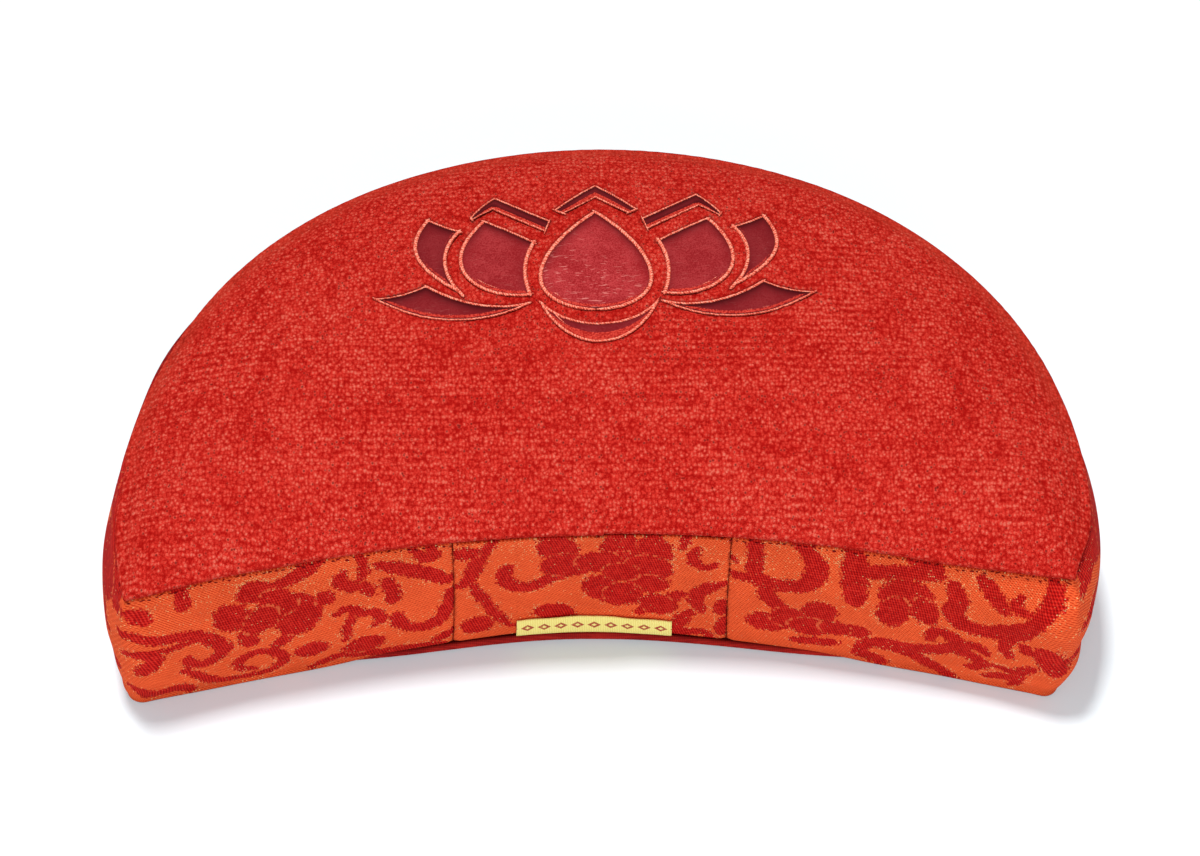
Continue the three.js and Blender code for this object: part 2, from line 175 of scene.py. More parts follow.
@dataclass
class Filling:
    """The unevenness that the filling gives the cloth, found by a cloth simulation.

    A coarse cushion a little smaller than the shape swells under pressure, held at its seams.
    What is left of its movement beside the mean of its neighbourhood becomes two fields: a rise
    of the top over the plan, and a push of the wall over its length and height.

    Attributes:
        smaller: how much smaller the coarse cushion starts.
        pressure: pressure of the filling.
        frames: steps of the simulation.
        cap: the furthest that a point may move.
        kept: the furthest that the cloth departs from the shape.
        reach: half the width of the plan's grid, whose spacing is the step.
        near: how far a point's movement counts in plan, and how far its neighbourhood's.
        beside: the same along the wall, in stations.
        levels: heights of the wall's grid, from the lower seam to the upper one.
        stations: ways of the wall's grid.
        rises: the first field, or None before the simulation.
        pushes: the second field.
    """

    smaller: float = 1.5
    pressure: float = 4.0
    frames: int = 20
    cap: float = 12.0
    kept: float = 0.55
    reach: float = 232.0
    step: float = 4.0
    near: tuple[float, float] = (13.0, 40.0)
    beside: tuple[float, float] = (3.0, 9.0)
    levels: int = 9
    stations: int = 240
    rises: Array | None = None
    pushes: Array | None = None

    def rise(self, x: Array, y: Array) -> Array:
        """How much the top stands over the shape at places in plan."""
        if self.rises is None:
            return np.zeros(np.broadcast(x, y).shape)
        return sampled(self.rises, (x + self.reach) / self.step, (y + self.reach / 4) / self.step)

    def push(self, way: Array, share: Array, length: float) -> Array:
        """How far the wall stands out of the shape at a way and a share of its height."""
        if self.pushes is None:
            return np.zeros(np.broadcast(way, share).shape)
        along = np.mod(way, length) / length * self.stations
        return sampled(self.pushes, share * (self.levels - 1), along)

    def settle(self, skin: Skin, length: float) -> None:
        """Runs the simulation and keeps its two fields.

        Args:
            skin: the coarse cushion; "way" and "share" place its wall, "held" its seams.
            length: length of the outline.
        """
        moved = self._swollen(skin) - skin.points
        far = np.linalg.norm(moved, axis=1, keepdims=True)
        moved = moved * np.minimum(1, self.cap / np.maximum(far, 1e-6))
        way, share, held = (skin.attributes[name][:, 0] for name in ("way", "share", "held"))
        top = (share < 0) & (held < 0.5) & (skin.points[:, 2] > skin.points[:, 2].mean())
        at, lift = skin.points[top, :2], moved[top, 2]
        x = np.arange(-self.reach, self.reach + self.step, self.step)
        y = np.arange(-self.reach / 4, self.reach + self.step, self.step)
        grid = np.stack(np.meshgrid(x, y, indexing="ij"), -1).reshape(-1, 1, 2)
        squares = ((grid - at) ** 2).sum(-1)
        fine, wide = (np.exp(-squares / (2 * size**2)) + 1e-12 for size in self.near)
        rises = (fine @ lift) / fine.sum(1) - (wide @ lift) / wide.sum(1)
        self.rises = self.kept * np.tanh(rises.reshape(len(x), len(y)) / self.kept)
        stations = np.linspace(0, length, self.stations + 1)
        rows = []
        for level in np.linspace(0, 1, self.levels):
            ring = np.abs(share - level) < 0.02
            order = np.argsort(way[ring])
            outwards = np.linalg.norm(moved[ring, :2], axis=1)[order]
            rows.append(np.interp(stations, way[ring][order], outwards, period=length))
        pushes = np.array(rows)
        turned = np.arange(self.stations)[:, None] - np.arange(self.stations)
        apart = np.minimum(np.abs(turned), self.stations - np.abs(turned))
        fine, wide = (np.exp(-((apart / size) ** 2) / 2) for size in self.beside)
        kernel = fine / fine.sum(1)[:, None] - wide / wide.sum(1)[:, None]
        pushes = pushes[:, :-1] @ kernel * np.sin(np.pi * np.linspace(0, 1, self.levels))[:, None]
        pushes = self.kept * np.tanh(pushes / self.kept)
        self.pushes = np.concatenate([pushes, pushes[:, :1]], 1)
        kept = (np.abs(grid).max() for grid in (self.rises, self.pushes))
        LOG.info("filling: moved up to %.1f mm, kept %.2f and %.2f mm", far.max(), *kept)

    def _swollen(self, skin: Skin) -> Array:
        """Lets the coarse cushion's cloth swell, and takes the cushion away again.

        Args:
            skin: the coarse cushion.

        Returns:
            Its points afterwards.
        """
        mesh = bpy.data.meshes.new("coarse_cushion")
        faces = [*skin.quads.tolist(), *skin.tris.tolist()]
        faces = faces if skin.volume() > 0 else [face[::-1] for face in faces]
        mesh.from_pydata((skin.points * MM).tolist(), [], faces)
        piece = bpy.data.objects.new("coarse_cushion", mesh)
        scene = bpy.context.scene
        scene.collection.objects.link(piece)
        seams = piece.vertex_groups.new(name="seams")
        held = skin.attributes["held"][:, 0]
        seams.add(np.flatnonzero(held > 0.5).tolist(), 1.0, "REPLACE")
        swelling = piece.modifiers.new("swelling", "CLOTH")
        settings = swelling.settings
        settings.quality, settings.mass, settings.air_damping = 6, 0.3, 4.0
        settings.tension_stiffness = settings.compression_stiffness = 40.0
        settings.shear_stiffness, settings.bending_stiffness = 20.0, 2.0
        settings.use_pressure, settings.uniform_pressure_force = True, self.pressure
        settings.effector_weights.gravity = 0.0
        settings.vertex_group_mass = seams.name
        swelling.collision_settings.use_collision = False
        swelling.point_cache.frame_start, swelling.point_cache.frame_end = 1, self.frames
        for frame in range(1, self.frames + 1):
            scene.frame_set(frame)
        found = piece.evaluated_get(bpy.context.evaluated_depsgraph_get()).data
        points = np.empty(len(found.vertices) * 3, np.float32)
        found.vertices.foreach_get("co", points)
        bpy.data.objects.remove(piece)
        bpy.data.meshes.remove(mesh)
        scene.frame_set(1)
        return points.reshape(-1, 3).astype(float) / MM


@dataclass(frozen=True)
class Arc:
    """One arc of the plan's outline, run anticlockwise round the cushion.

    Attributes:
        centre: middle of its circle.
        radius: radius at offset 0.
        start: angle of its first point.
        turn: angle that it turns through; negative on the hollow front.
    """

    centre: tuple[float, float]
    radius: float
    start: float
    turn: float

    @property
    def length(self) -> float:
        """Length of the arc at offset 0."""
        return self.radius * abs(self.turn)


@dataclass(frozen=True)
class CushionShape:
    """Sizes of the cushion in millimetres, and its surfaces as functions of two parameters.

    Attributes:
        half_width: half the width, at the seams.
        back_reach: how far the back stands from the widest line.
        side_radius: radius of the outline's sides.
        front_middle: Y of the middle of the hollow front.
        front_radius: radius of the hollow.
        corner_radius: radius of the corners at the lower seam.
        corner_tip: their radius at the upper one.
        bottom_seam: height of the lower seam.
        top_seam: height of the upper one.
        crown: how much the top swells over its seam.
        crown_reach: distance from the seam over which it swells.
        wall_bulge: how far the wall swells.
        bottom_inset: how far its foot is drawn in.
        cloth: thickness of the brocade with its lining.
        gap: what is left between cloths.
        insert_left: X of the insert's left seam.
        insert_right: X of its right seam.
        filling: the unevenness of the filling.
        arcs: the outline.
        shift: way from the plan frame to the part's.
    """

    half_width: float = 217.0
    back_reach: float = 202.5
    side_radius: float = 199.0
    front_middle: float = -9.2
    front_radius: float = 660.0
    corner_radius: float = 12.0
    corner_tip: float = 2.0
    bottom_seam: float = 4.2
    top_seam: float = 102.5
    crown: float = 25.0
    crown_reach: float = 100.0
    wall_bulge: float = 7.0
    bottom_inset: float = 5.5
    cloth: float = 1.6
    gap: float = 0.3
    insert_left: float = -67.5
    insert_right: float = 56.5
    filling: Filling = field(default_factory=Filling)
    arcs: tuple[Arc, ...] = field(init=False)
    shift: tuple[float, float] = field(init=False)

    def __post_init__(self) -> None:
        """Works out the outline's arcs, then the way from the plan frame to the part's."""
        object.__setattr__(self, "arcs", self._outline_arcs())
        object.__setattr__(self, "shift", (0.0, 0.0))
        low, high = (np.array(corner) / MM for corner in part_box("side_band"))
        own = self.wall(np.linspace(0, self.length, 4001), np.linspace(0, 1, 41)[:, None])
        middle = (own.min((0, 1)) + own.max((0, 1))) / 2
        shift = (low + high)[:2] / 2 - middle[:2]
        object.__setattr__(self, "shift", (float(shift[0]), float(shift[1])))

    def _outline_arcs(self) -> tuple[Arc, ...]:
        """The six tangent arcs, from the front's middle round the back and to it again."""
        front = (0.0, self.front_middle - self.front_radius)
        side_x = self.half_width - self.side_radius
        back_radius = (side_x**2 + self.back_reach**2 - self.side_radius**2) / (
            2 * (self.back_reach - self.side_radius)
        )
        back = (0.0, self.back_reach - back_radius)
        corner = self._circles_meet(
            front,
            self.front_radius + self.corner_radius,
            (side_x, 0.0),
            self.side_radius - self.corner_radius,
        )
        front_turn = math.atan2(corner[1] - front[1], corner[0] - front[0])
        corner_turn = math.atan2(corner[1], corner[0] - side_x)
        side_turn = math.atan2(-back[1], side_x)
        corner_start = front_turn - math.pi
        right = (
            Arc(front, self.front_radius, math.pi / 2, front_turn - math.pi / 2),
            Arc(corner, self.corner_radius, corner_start, corner_turn - corner_start),
            Arc((side_x, 0.0), self.side_radius, corner_turn, side_turn - corner_turn),
        )
        middle = Arc(back, back_radius, side_turn, math.pi - 2 * side_turn)
        left = tuple(
            Arc((-a.centre[0], a.centre[1]), a.radius, math.pi - a.start - a.turn, a.turn)
            for a in reversed(right)
        )
        return (*right, middle, *left)

    @staticmethod
    def _circles_meet(
        a: tuple[float, float], radius_a: float, b: tuple[float, float], radius_b: float
    ) -> tuple[float, float]:
        """Where two circles cross, on the right of the line from the first centre to the second.

        Args:
            a: first centre.
            radius_a: its radius.
            b: second centre.
            radius_b: its radius.

        Returns:
            The crossing point.
        """
        line = np.array(b) - np.array(a)
        apart = float(np.hypot(*line))
        along = (apart**2 + radius_a**2 - radius_b**2) / (2 * apart)
        aside = math.sqrt(radius_a**2 - along**2)
        ahead = line / apart
        return (
            a[0] + ahead[0] * along + ahead[1] * aside,
            a[1] + ahead[1] * along - ahead[0] * aside,
        )

    @property
    def length(self) -> float:
        """Length of the whole outline at offset 0."""
        return sum(arc.length for arc in self.arcs)

    @property
    def tall(self) -> float:
        """Height of the wall from seam to seam."""
        return self.top_seam - self.bottom_seam

    @property
    def corner_middle(self) -> float:
        """Way along the outline from the middle of the front to the middle of the corner."""
        return self.arcs[0].length + self.arcs[1].length / 2

    def rim(
        self, s: Array, offset: Array | float = 0.0, squared: Array | float = 0.0
    ) -> tuple[Array, Array]:
        """Points of the outline: centre + radius * (cos, sin), the radius grown by the offset.

        On a squared corner the radius also grows by its part over the tip's, times
        1 / cos(angle to the nearer end of the corner) - 1, which draws two straight sides.

        Args:
            s: way along the outline from the middle of the hollow front, to the right.
            offset: length by which the outline is moved outwards.
            squared: 0 for round corners, 1 for corners as tight as the tip's radius.

        Returns:
            X and Y of the points.
        """
        ends = np.cumsum([arc.length for arc in self.arcs])
        way = np.mod(s, ends[-1])
        which = np.minimum(np.searchsorted(ends, way, side="right"), len(ends) - 1)
        begins = ends - [arc.length for arc in self.arcs]
        halves = [arc.turn / 2 if arc.radius == self.corner_radius else 0 for arc in self.arcs]
        rows = [
            (*arc.centre, arc.radius, arc.start, math.copysign(1, arc.turn), half)
            for arc, half in zip(self.arcs, halves)
        ]
        centre_x, centre_y, radius, start, sense, half_turn = np.moveaxis(
            np.array(rows)[which], -1, 0
        )
        turned = (way - begins[which]) / radius
        angle = start + sense * turned
        grown = radius + sense * offset
        to_end = half_turn - np.abs(turned - half_turn)
        tip = np.where(half_turn > 0, squared * np.maximum(grown - self.corner_tip, 0), 0)
        grown = grown + tip * (1 / np.cos(np.where(half_turn > 0, to_end, 0)) - 1)
        return centre_x + grown * np.cos(angle), centre_y + grown * np.sin(angle)

    def wall_offset(self, share: Array) -> Array:
        """How far the wall stands out: a flattened sine of its height, less the drawn-in foot."""
        bulge = self.wall_bulge * np.maximum(np.sin(np.pi * share), 0) ** 0.75
        return bulge - self.bottom_inset * np.maximum(1 - share, 0) ** 1.5

    def wall(self, s: Array, share: Array, outwards: Array | float = 0.0) -> Array:
        """The wall at a way along the outline and a share of its height.

        Args:
            s: way along the outline.
            share: 0 at the lower seam, 1 at the upper one.
            outwards: length by which the point stands out from the band's face.

        Returns:
            Settled points, the last axis X, Y, Z.
        """
        s, share, outwards = np.broadcast_arrays(s, share, outwards)
        squared = unit((share - 0.5) / 0.5) ** 1.5
        offset = self.wall_offset(share) + self.filling.push(s, share, self.length)
        x, y = self.rim(s, offset + outwards, squared)
        return self.settled(spots(x, y, self.bottom_seam + self.tall * share))

    def top_height(self, x: Array, y: Array) -> Array:
        """Height of the crown: a quarter ellipse over the distance to the seam.

        Args:
            x: place in plan.
            y: place in plan.

        Returns:
            Height over the floor of the evenly filled shape.
        """
        front, side, back = self.arcs[0], self.arcs[2], self.arcs[3]
        far = np.abs(x)
        to_front = np.hypot(far - front.centre[0], y - front.centre[1]) - front.radius
        behind = np.arctan2(y - back.centre[1], far) > back.start
        to_rim = np.where(
            behind,
            back.radius - np.hypot(far, y - back.centre[1]),
            side.radius - np.hypot(far - side.centre[0], y - side.centre[1]),
        )
        a, b = np.maximum(to_front, 1e-3), np.maximum(to_rim, 1e-3)
        nearest = (a**-3 + b**-3) ** (-1 / 3)
        share = unit(nearest / self.crown_reach)
        swell = self.filling.rise(x, y) * unit(nearest / 15)
        return self.top_seam + self.crown * np.sqrt(1 - (1 - share) ** 2) + swell

    def settled(self, points: Array) -> Array:
        """Moves points of the evenly filled shape to where the filling has settled.

        Each movement is a product of bell curves, powers and clipped slopes of X, Y and Z. All
        lengths are millimetres. The hollow front is drawn flat, its middle pulled in and lifted
        at the foot. The foot of the left end spreads. Both ends are dented halfway up, the right
        one again higher, beside the front. The left shoulder has sunk in. The upper seam is
        pulled in at both front corners, most of all at the right one, whose tip is pushed back.

        Args:
            points: array whose last axis is X, Y, Z.

        Returns:
            The moved points.
        """
        x, y, z = points[..., 0], points[..., 1], points[..., 2]
        share = unit(z / self.top_seam)
        low = 1 - share
        at_front = bell(y - self.front_middle, 60)
        at_rim = bell(y - self.front_middle, 14)
        at_middle = bell(x + 9, 68)
        far = (np.abs(x) / self.half_width) ** 3
        at_shoulder = np.where(x < 0, far * bell(y - 62, 36), 0)
        flat = (5 + 4 * at_middle) * np.maximum(np.sin(np.pi * share), 0) ** 0.75
        drawn = 3.3 * np.sin(np.pi * share) - low - 4.9 * bell(z - 44, 16)
        spread = 6 * low + 3 * bell(z - 4, 9) + 0.8 * np.sin(np.pi * share)
        spread = spread - 1.4 * bell(z - 42, 15)
        outwards = np.where(x < 0, spread, drawn)
        at_end = far * unit(1 - y / 160)
        over_floor = np.minimum(z / self.bottom_seam, 1)
        high = unit((z - 66) / 36) ** 1.5
        beside = bell(np.abs(x) - 220, 34) * high * np.sign(x)
        behind = np.clip(y + 41, 0, None)
        on_left = unit((55 - y) / 30) + 1.5 * bell(y - 17, 12)
        on_right = 1.1 * unit((125 - y) / 60) + 3.9 * bell(behind, 19)
        pulled = beside * np.where(x < 0, on_left, on_right)
        at_height = bell(z - 73, 17)
        at_right = unit((x - 165) / 35)
        pulled = pulled + 4 * at_right * at_height * bell(behind, 20)
        lifted = 7.8 * unit((x - 150) / 60) ** 1.3 * bell(behind, 30) * high
        under_corner = bell(np.abs(x) - 205, 20) * low**3
        front_edge = unit((172 - np.abs(x)) / 25) * at_front * high
        dropped = np.where(x < 0, 1.1, 0.2) * front_edge
        hollow = 4 * at_middle * low + flat + 2 * np.abs(x) / self.half_width * low**4
        return spots(
            x + np.sign(x) * at_end * outwards + 1.6 * at_shoulder - pulled,
            y + at_front * hollow + at_front * 1.7 * under_corner + lifted - dropped,
            z + 3.5 * at_rim * at_middle * low * over_floor,
        )

    def to_part(self, points: Array) -> Array:
        """Points in metres in the frame of the part."""
        return (points + np.array([*self.shift, 0.0])) * MM


SHAPE = CushionShape()


# ---------------------------------------------------------------- meshes


@dataclass
class Skin:
    """Vertices, faces and vertex attributes that become one mesh.

    Attributes:
        points: places of the vertices in millimetres.
        quads: faces of four vertices.
        tris: faces of three.
        caps: faces of any number, each a list of its own.
        attributes: values for each vertex, by name.
    """

    points: Array
    quads: Array
    tris: Array = field(default_factory=lambda: np.zeros((0, 3), int))
    caps: list[Array] = field(default_factory=list)
    attributes: dict[str, Array] = field(default_factory=dict)

    @staticmethod
    def of_grid(points: Array, wrap: bool = False, **attributes: Array) -> Skin:
        """A grid of rows and columns as quads.

        Args:
            points: array of rows x columns x 3.
            wrap: whether the last column joins the first.
            **attributes: one value or vector for each grid point.

        Returns:
            The skin.
        """
        rows, columns = points.shape[:2]
        index = np.arange(rows * columns).reshape(rows, columns)
        right = np.roll(index, -1, axis=1)
        if not wrap:
            index, right = index[:, :-1], right[:, :-1]
        quads = np.stack([index[:-1], right[:-1], right[1:], index[1:]], -1).reshape(-1, 4)
        flat = {
            name: np.asarray(values, float).reshape(rows * columns, -1)
            for name, values in attributes.items()
        }
        return Skin(points.reshape(-1, 3), quads, attributes=flat)

    def turned(self) -> Skin:
        """The skin with its four-sided faces turned over."""
        self.quads = self.quads[:, ::-1]
        return self

    def capped(self, columns: int) -> Skin:
        """Closes the first and the last row of a wrapped grid of so many columns."""
        count = len(self.points)
        ends = [np.arange(columns)[::-1], np.arange(count - columns, count)]
        return Skin(self.points, self.quads, self.tris, [*self.caps, *ends], self.attributes)

    @staticmethod
    def joined(skins: list[Skin]) -> Skin:
        """Several skins as one; attributes that a skin lacks are 0 on it."""
        names = {name: each.shape[1] for skin in skins for name, each in skin.attributes.items()}
        starts = np.cumsum([0, *[len(skin.points) for skin in skins]])
        attributes = {
            name: np.concatenate(
                [each.attributes.get(name, np.zeros((len(each.points), wide))) for each in skins]
            )
            for name, wide in names.items()
        }
        return Skin(
            np.concatenate([skin.points for skin in skins]),
            np.concatenate([skin.quads + start for skin, start in zip(skins, starts)]),
            np.concatenate([skin.tris + start for skin, start in zip(skins, starts)]).astype(int),
            [cap + start for skin, start in zip(skins, starts) for cap in skin.caps],
            attributes,
        )

    def welded(self, within: float = 0.01) -> Skin:
        """Joins vertices that lie together and drops faces that shrink to a line.

        Args:
            within: grid size in millimetres on which vertices count as one.

        Returns:
            The welded skin.
        """
        keys = np.round(self.points / within).astype(np.int64)
        _, first, inverse = np.unique(keys, axis=0, return_index=True, return_inverse=True)
        inverse = inverse.reshape(-1)
        quads, tris = inverse[self.quads], inverse[self.tris]
        doubled = quads == np.roll(quads, -1, axis=1)
        short = doubled.sum(1) == 1
        kept = quads[doubled.sum(1) == 0]
        narrowed = [
            np.delete(quad, np.flatnonzero(double)[0])
            for quad, double in zip(quads[short], doubled[short])
        ]
        found = np.array(narrowed, int).reshape(-1, 3)
        every = np.concatenate([tris, found])
        flat = (every == np.roll(every, -1, axis=1)).any(1)
        attributes = {name: values[first] for name, values in self.attributes.items()}
        caps = [inverse[cap] for cap in self.caps]
        return Skin(self.points[first], kept, every[~flat], caps, attributes)

    def volume(self) -> float:
        """Signed volume; positive when the faces point outwards."""
        fans = [np.stack([cap[1:-1] * 0 + cap[0], cap[1:-1], cap[2:]], -1) for cap in self.caps]
        halves = np.concatenate(
            [self.quads[:, [0, 1, 2]], self.quads[:, [0, 2, 3]], self.tris, *fans]
        )
        a, b, c = (self.points[halves[:, k]] for k in range(3))
        return float((a * np.cross(b, c)).sum() / 6)

    def build(self, name: str, material: bpy.types.Material) -> bpy.types.Object:
        """Makes the object, faces outwards, smooth, at the origin of the part's frame.

        Args:
            name: name of the piece.
            material: its finish.

        Returns:
            The object, which rides on the root body.
        """
        faces = [*self.quads.tolist(), *self.tris.tolist(), *[cap.tolist() for cap in self.caps]]
        if self.volume() < 0:
            faces = [face[::-1] for face in faces]
        mesh = bpy.data.meshes.new(name)
        mesh.from_pydata(SHAPE.to_part(self.points).tolist(), [], faces)
        for key, values in self.attributes.items():
            width = values.shape[1]
            kind = "FLOAT" if width == 1 else "FLOAT_VECTOR"
            padded = values if width in (1, 3) else np.pad(values, ((0, 0), (0, 3 - width)))
            values = padded.astype(np.float32).ravel()
            layer = mesh.attributes.new(key, kind, "POINT")
            layer.data.foreach_set("value" if width == 1 else "vector", values)
        mesh.polygons.foreach_set("use_smooth", np.ones(len(mesh.polygons), bool))
        mesh.validate()
        mesh.materials.append(material)
        piece = bpy.data.objects.new(name, mesh)
        bpy.context.scene.collection.objects.link(piece)
        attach(piece, "root")
        LOG.info("%s: %d faces", name, len(mesh.polygons))
        return piece

    def dress(
        self, name: str, material: bpy.types.Material, node: str, slot: str
    ) -> bpy.types.Object:
        """Makes the object in place of a CAD node.

        Args:
            name: name of the piece.
            material: its finish.
            node: the CAD node that it stands for.
            slot: what its finish is in the part; not used.

        Returns:
            The object.
        """
        piece = self.build(name, material)
        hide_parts(node)
        return piece


def swept(path: Array, up: Array, half_wide: Array, half_high: Array, sides: int) -> Skin:
    """A cord along a path: ellipses square to the path, closed at both ends.

    Args:
        path: points of the middle line, n x 3.
        up: unit vectors away from the cloth, n x 3.
        half_wide: half widths, n values, or n x sides where the cord is ribbed.
        half_high: half heights, of the same form.
        sides: points round the cord.

    Returns:
        The closed skin, with the length and the angle in the attribute "cord".
    """
    step = np.gradient(path, axis=0)
    along = step / np.maximum(np.linalg.norm(step, axis=1, keepdims=True), 1e-9)
    side = np.cross(along, up)
    side /= np.maximum(np.linalg.norm(side, axis=1, keepdims=True), 1e-9)
    over = np.cross(side, along)
    angle = np.arange(sides) / sides * TAU
    wide = np.reshape(half_wide, (len(path), -1))[..., None]
    high = np.reshape(half_high, (len(path), -1))[..., None]
    ring = side[:, None] * np.cos(angle)[None, :, None] * wide
    ring = ring + over[:, None] * np.sin(angle)[None, :, None] * high
    cord = np.stack(np.broadcast_arrays(lengths(path)[:, None], angle[None, :]), -1)
    return Skin.of_grid(path[:, None] + ring, wrap=True, cord=cord).capped(sides)


# ---------------------------------------------------------------- finishes


def linear(code: str) -> tuple[float, float, float, float]:
    """A hex colour as linear red, green, blue and alpha."""
    channels = [int(code[i : i + 2], 16) / 255 for i in (1, 3, 5)]
    plain = [c / 12.92 if c <= 0.04045 else ((c + 0.055) / 1.055) ** 2.4 for c in channels]
    return (plain[0], plain[1], plain[2], 1.0)


def operator(operation: str, swapped: bool = False) -> Callable[[Term, Term | float], Term]:
    """An arithmetic method of a term, which adds a Math node.

    Args:
        operation: what the node does.
        swapped: whether the term comes second.

    Returns:
        The method.
    """

    def method(term: Term, other: Term | float) -> Term:
        """The result of the operation on the two."""
        return term.graph.math(operation, *((other, term) if swapped else (term, other)))

    return method


@dataclass(frozen=True)
class Term:
    """An output of a node; arithmetic with it adds more nodes."""

    graph: Graph
    socket: bpy.types.NodeSocket

    __add__ = __radd__ = operator("ADD")
    __mul__ = __rmul__ = operator("MULTIPLY")
    __sub__, __rsub__ = operator("SUBTRACT"), operator("SUBTRACT", swapped=True)
    __truediv__ = operator("DIVIDE")


@dataclass(frozen=True)
class Graph:
    """Adds nodes to a shader tree; an input is a term, a colour's hex code or a plain value."""

    tree: bpy.types.NodeTree

    def wire(self, value: object, socket: bpy.types.NodeSocket) -> None:
        """Links a term to a socket, or sets the socket's own value."""
        if isinstance(value, Term):
            self.tree.links.new(value.socket, socket)
        else:
            socket.default_value = linear(value) if isinstance(value, str) else value

    def node(self, kind: str, settings: dict | None = None, **inputs: object) -> list[Term]:
        """Adds a node.

        Args:
            kind: type of the node without the word ShaderNode.
            settings: properties of the node.
            **inputs: values by name, with _ for a space, or by number as i0, i1.

        Returns:
            Its outputs.
        """
        made = self.tree.nodes.new("ShaderNode" + kind)
        for key, value in (settings or {}).items():
            setattr(made, key, value)
        for key, value in inputs.items():
            numbered = key[0] == "i" and key[1:].isdigit()
            self.wire(value, made.inputs[int(key[1:]) if numbered else key.replace("_", " ")])
        return [Term(self, socket) for socket in made.outputs]

    def one(self, output: str, kind: str, settings: dict | None = None) -> Term:
        """Adds a node for its output of a given name."""
        return next(term for term in self.node(kind, settings) if term.socket.name == output)

    def math(self, operation: str, *values: Term | float) -> Term:
        """A Math node's result."""
        inputs = {f"i{i}": value for i, value in enumerate(values)}
        return self.node("Math", {"operation": operation}, **inputs)[0]

    def vector(self, operation: str, *values: object) -> Term:
        """A Vector Math node's vector."""
        inputs = {f"i{i}": value for i, value in enumerate(values)}
        return self.node("VectorMath", {"operation": operation}, **inputs)[0]

    def mix(self, factor: Term, a: Term | str, b: Term | str) -> Term:
        """Two colours mixed by a factor."""
        return self.node("Mix", {"data_type": "RGBA"}, i0=factor, i6=a, i7=b)[2]

    def painted(self, colour: Term, *layers: tuple[Term, Term | str]) -> Term:
        """A colour with others over it in turn, each as strong as its factor."""
        for factor, paint in layers:
            colour = self.mix(factor, colour, paint)
        return colour

    def span(
        self,
        value: Term,
        low: Term | float,
        high: Term | float,
        to: tuple[float, float] = (0.0, 1.0),
    ) -> Term:
        """A value taken smoothly from one range to another.

        Args:
            value: what is mapped.
            low: where the first end of the new range is reached.
            high: where its second end is reached.
            to: the new range.

        Returns:
            The mapped value.
        """
        settings = {"interpolation_type": "SMOOTHSTEP"}
        return self.node("MapRange", settings, i0=value, i1=low, i2=high, i3=to[0], i4=to[1])[0]

    def noise(self, place: Term, scale: float = 1.0, detail: float = 2.0) -> Term:
        """Smooth noise from 0 to 1 at a number of lumps for each unit of place."""
        return self.node("TexNoise", None, Vector=place, Scale=scale, Detail=detail)[0]

    def swayed(self, place: Term, scale: float, by: object, detail: float = 2.0) -> Term:
        """Places moved by smooth noise, as far as "by" along each axis."""
        bend = self.node("TexNoise", None, Vector=place, Scale=scale, Detail=detail)[1]
        return self.vector("MULTIPLY_ADD", bend, by, place)

    def cells(self, place: Term, uneven: float, distance: str = "EUCLIDEAN") -> list[Term]:
        """Distance to the middle of the nearest cell, and three chances of that cell.

        Args:
            place: places, in cells.
            uneven: 0 for a square grid of cells, 1 for scattered ones.
            distance: how distance is measured.

        Returns:
            The four terms.
        """
        inputs = {"Vector": place, "Scale": 1.0, "Randomness": uneven}
        far, colour = self.node("TexVoronoi", {"distance": distance}, **inputs)[:2]
        return [far, *self.node("SeparateColor", None, Color=colour)]

    def attribute(self, name: str, output: str = "Fac") -> Term:
        """A vertex attribute of the piece."""
        return self.one(output, "Attribute", {"attribute_name": name})

    def place(self) -> Term:
        """Object coordinates in millimetres."""
        found = self.one("Object", "TexCoord")
        return self.node("Mapping", None, Vector=found, Scale=(1 / MM,) * 3)[0]


class Effect(Enum):
    """Effects that several finishes share: each one's group, its usual inputs, its outputs."""

    BLOTCHES = ("cloth_blotches", {"Place": None, "Size": 30.0, "Strength": 1.0}, ("Value",))
    NUBS = (
        "chenille_nubs",
        {"Place": None, "Width": 1.58, "Depth": 1.93, "Row": 3.86, "Rows": 0.5},
        ("Height", "Glint", "Pit"),
    )
    CELLS = (
        "woven_cells",
        {"Place": None, "Across": 1.4, "Up": 1.6, "Slant": 0.0, "Unevenness": 0.25, "Bars": 0.5},
        ("Height", "Thread", "Chance"),
    )
    FIBRES = (
        "loose_fibres", {"Place": None, "Length": 5.0, "Width": 0.5, "Amount": 0.1}, ("Mask",)
    )
    SPECKS = ("gold_specks", {"Place": None, "Size": 0.8, "Share": 0.1}, ("Mask",))


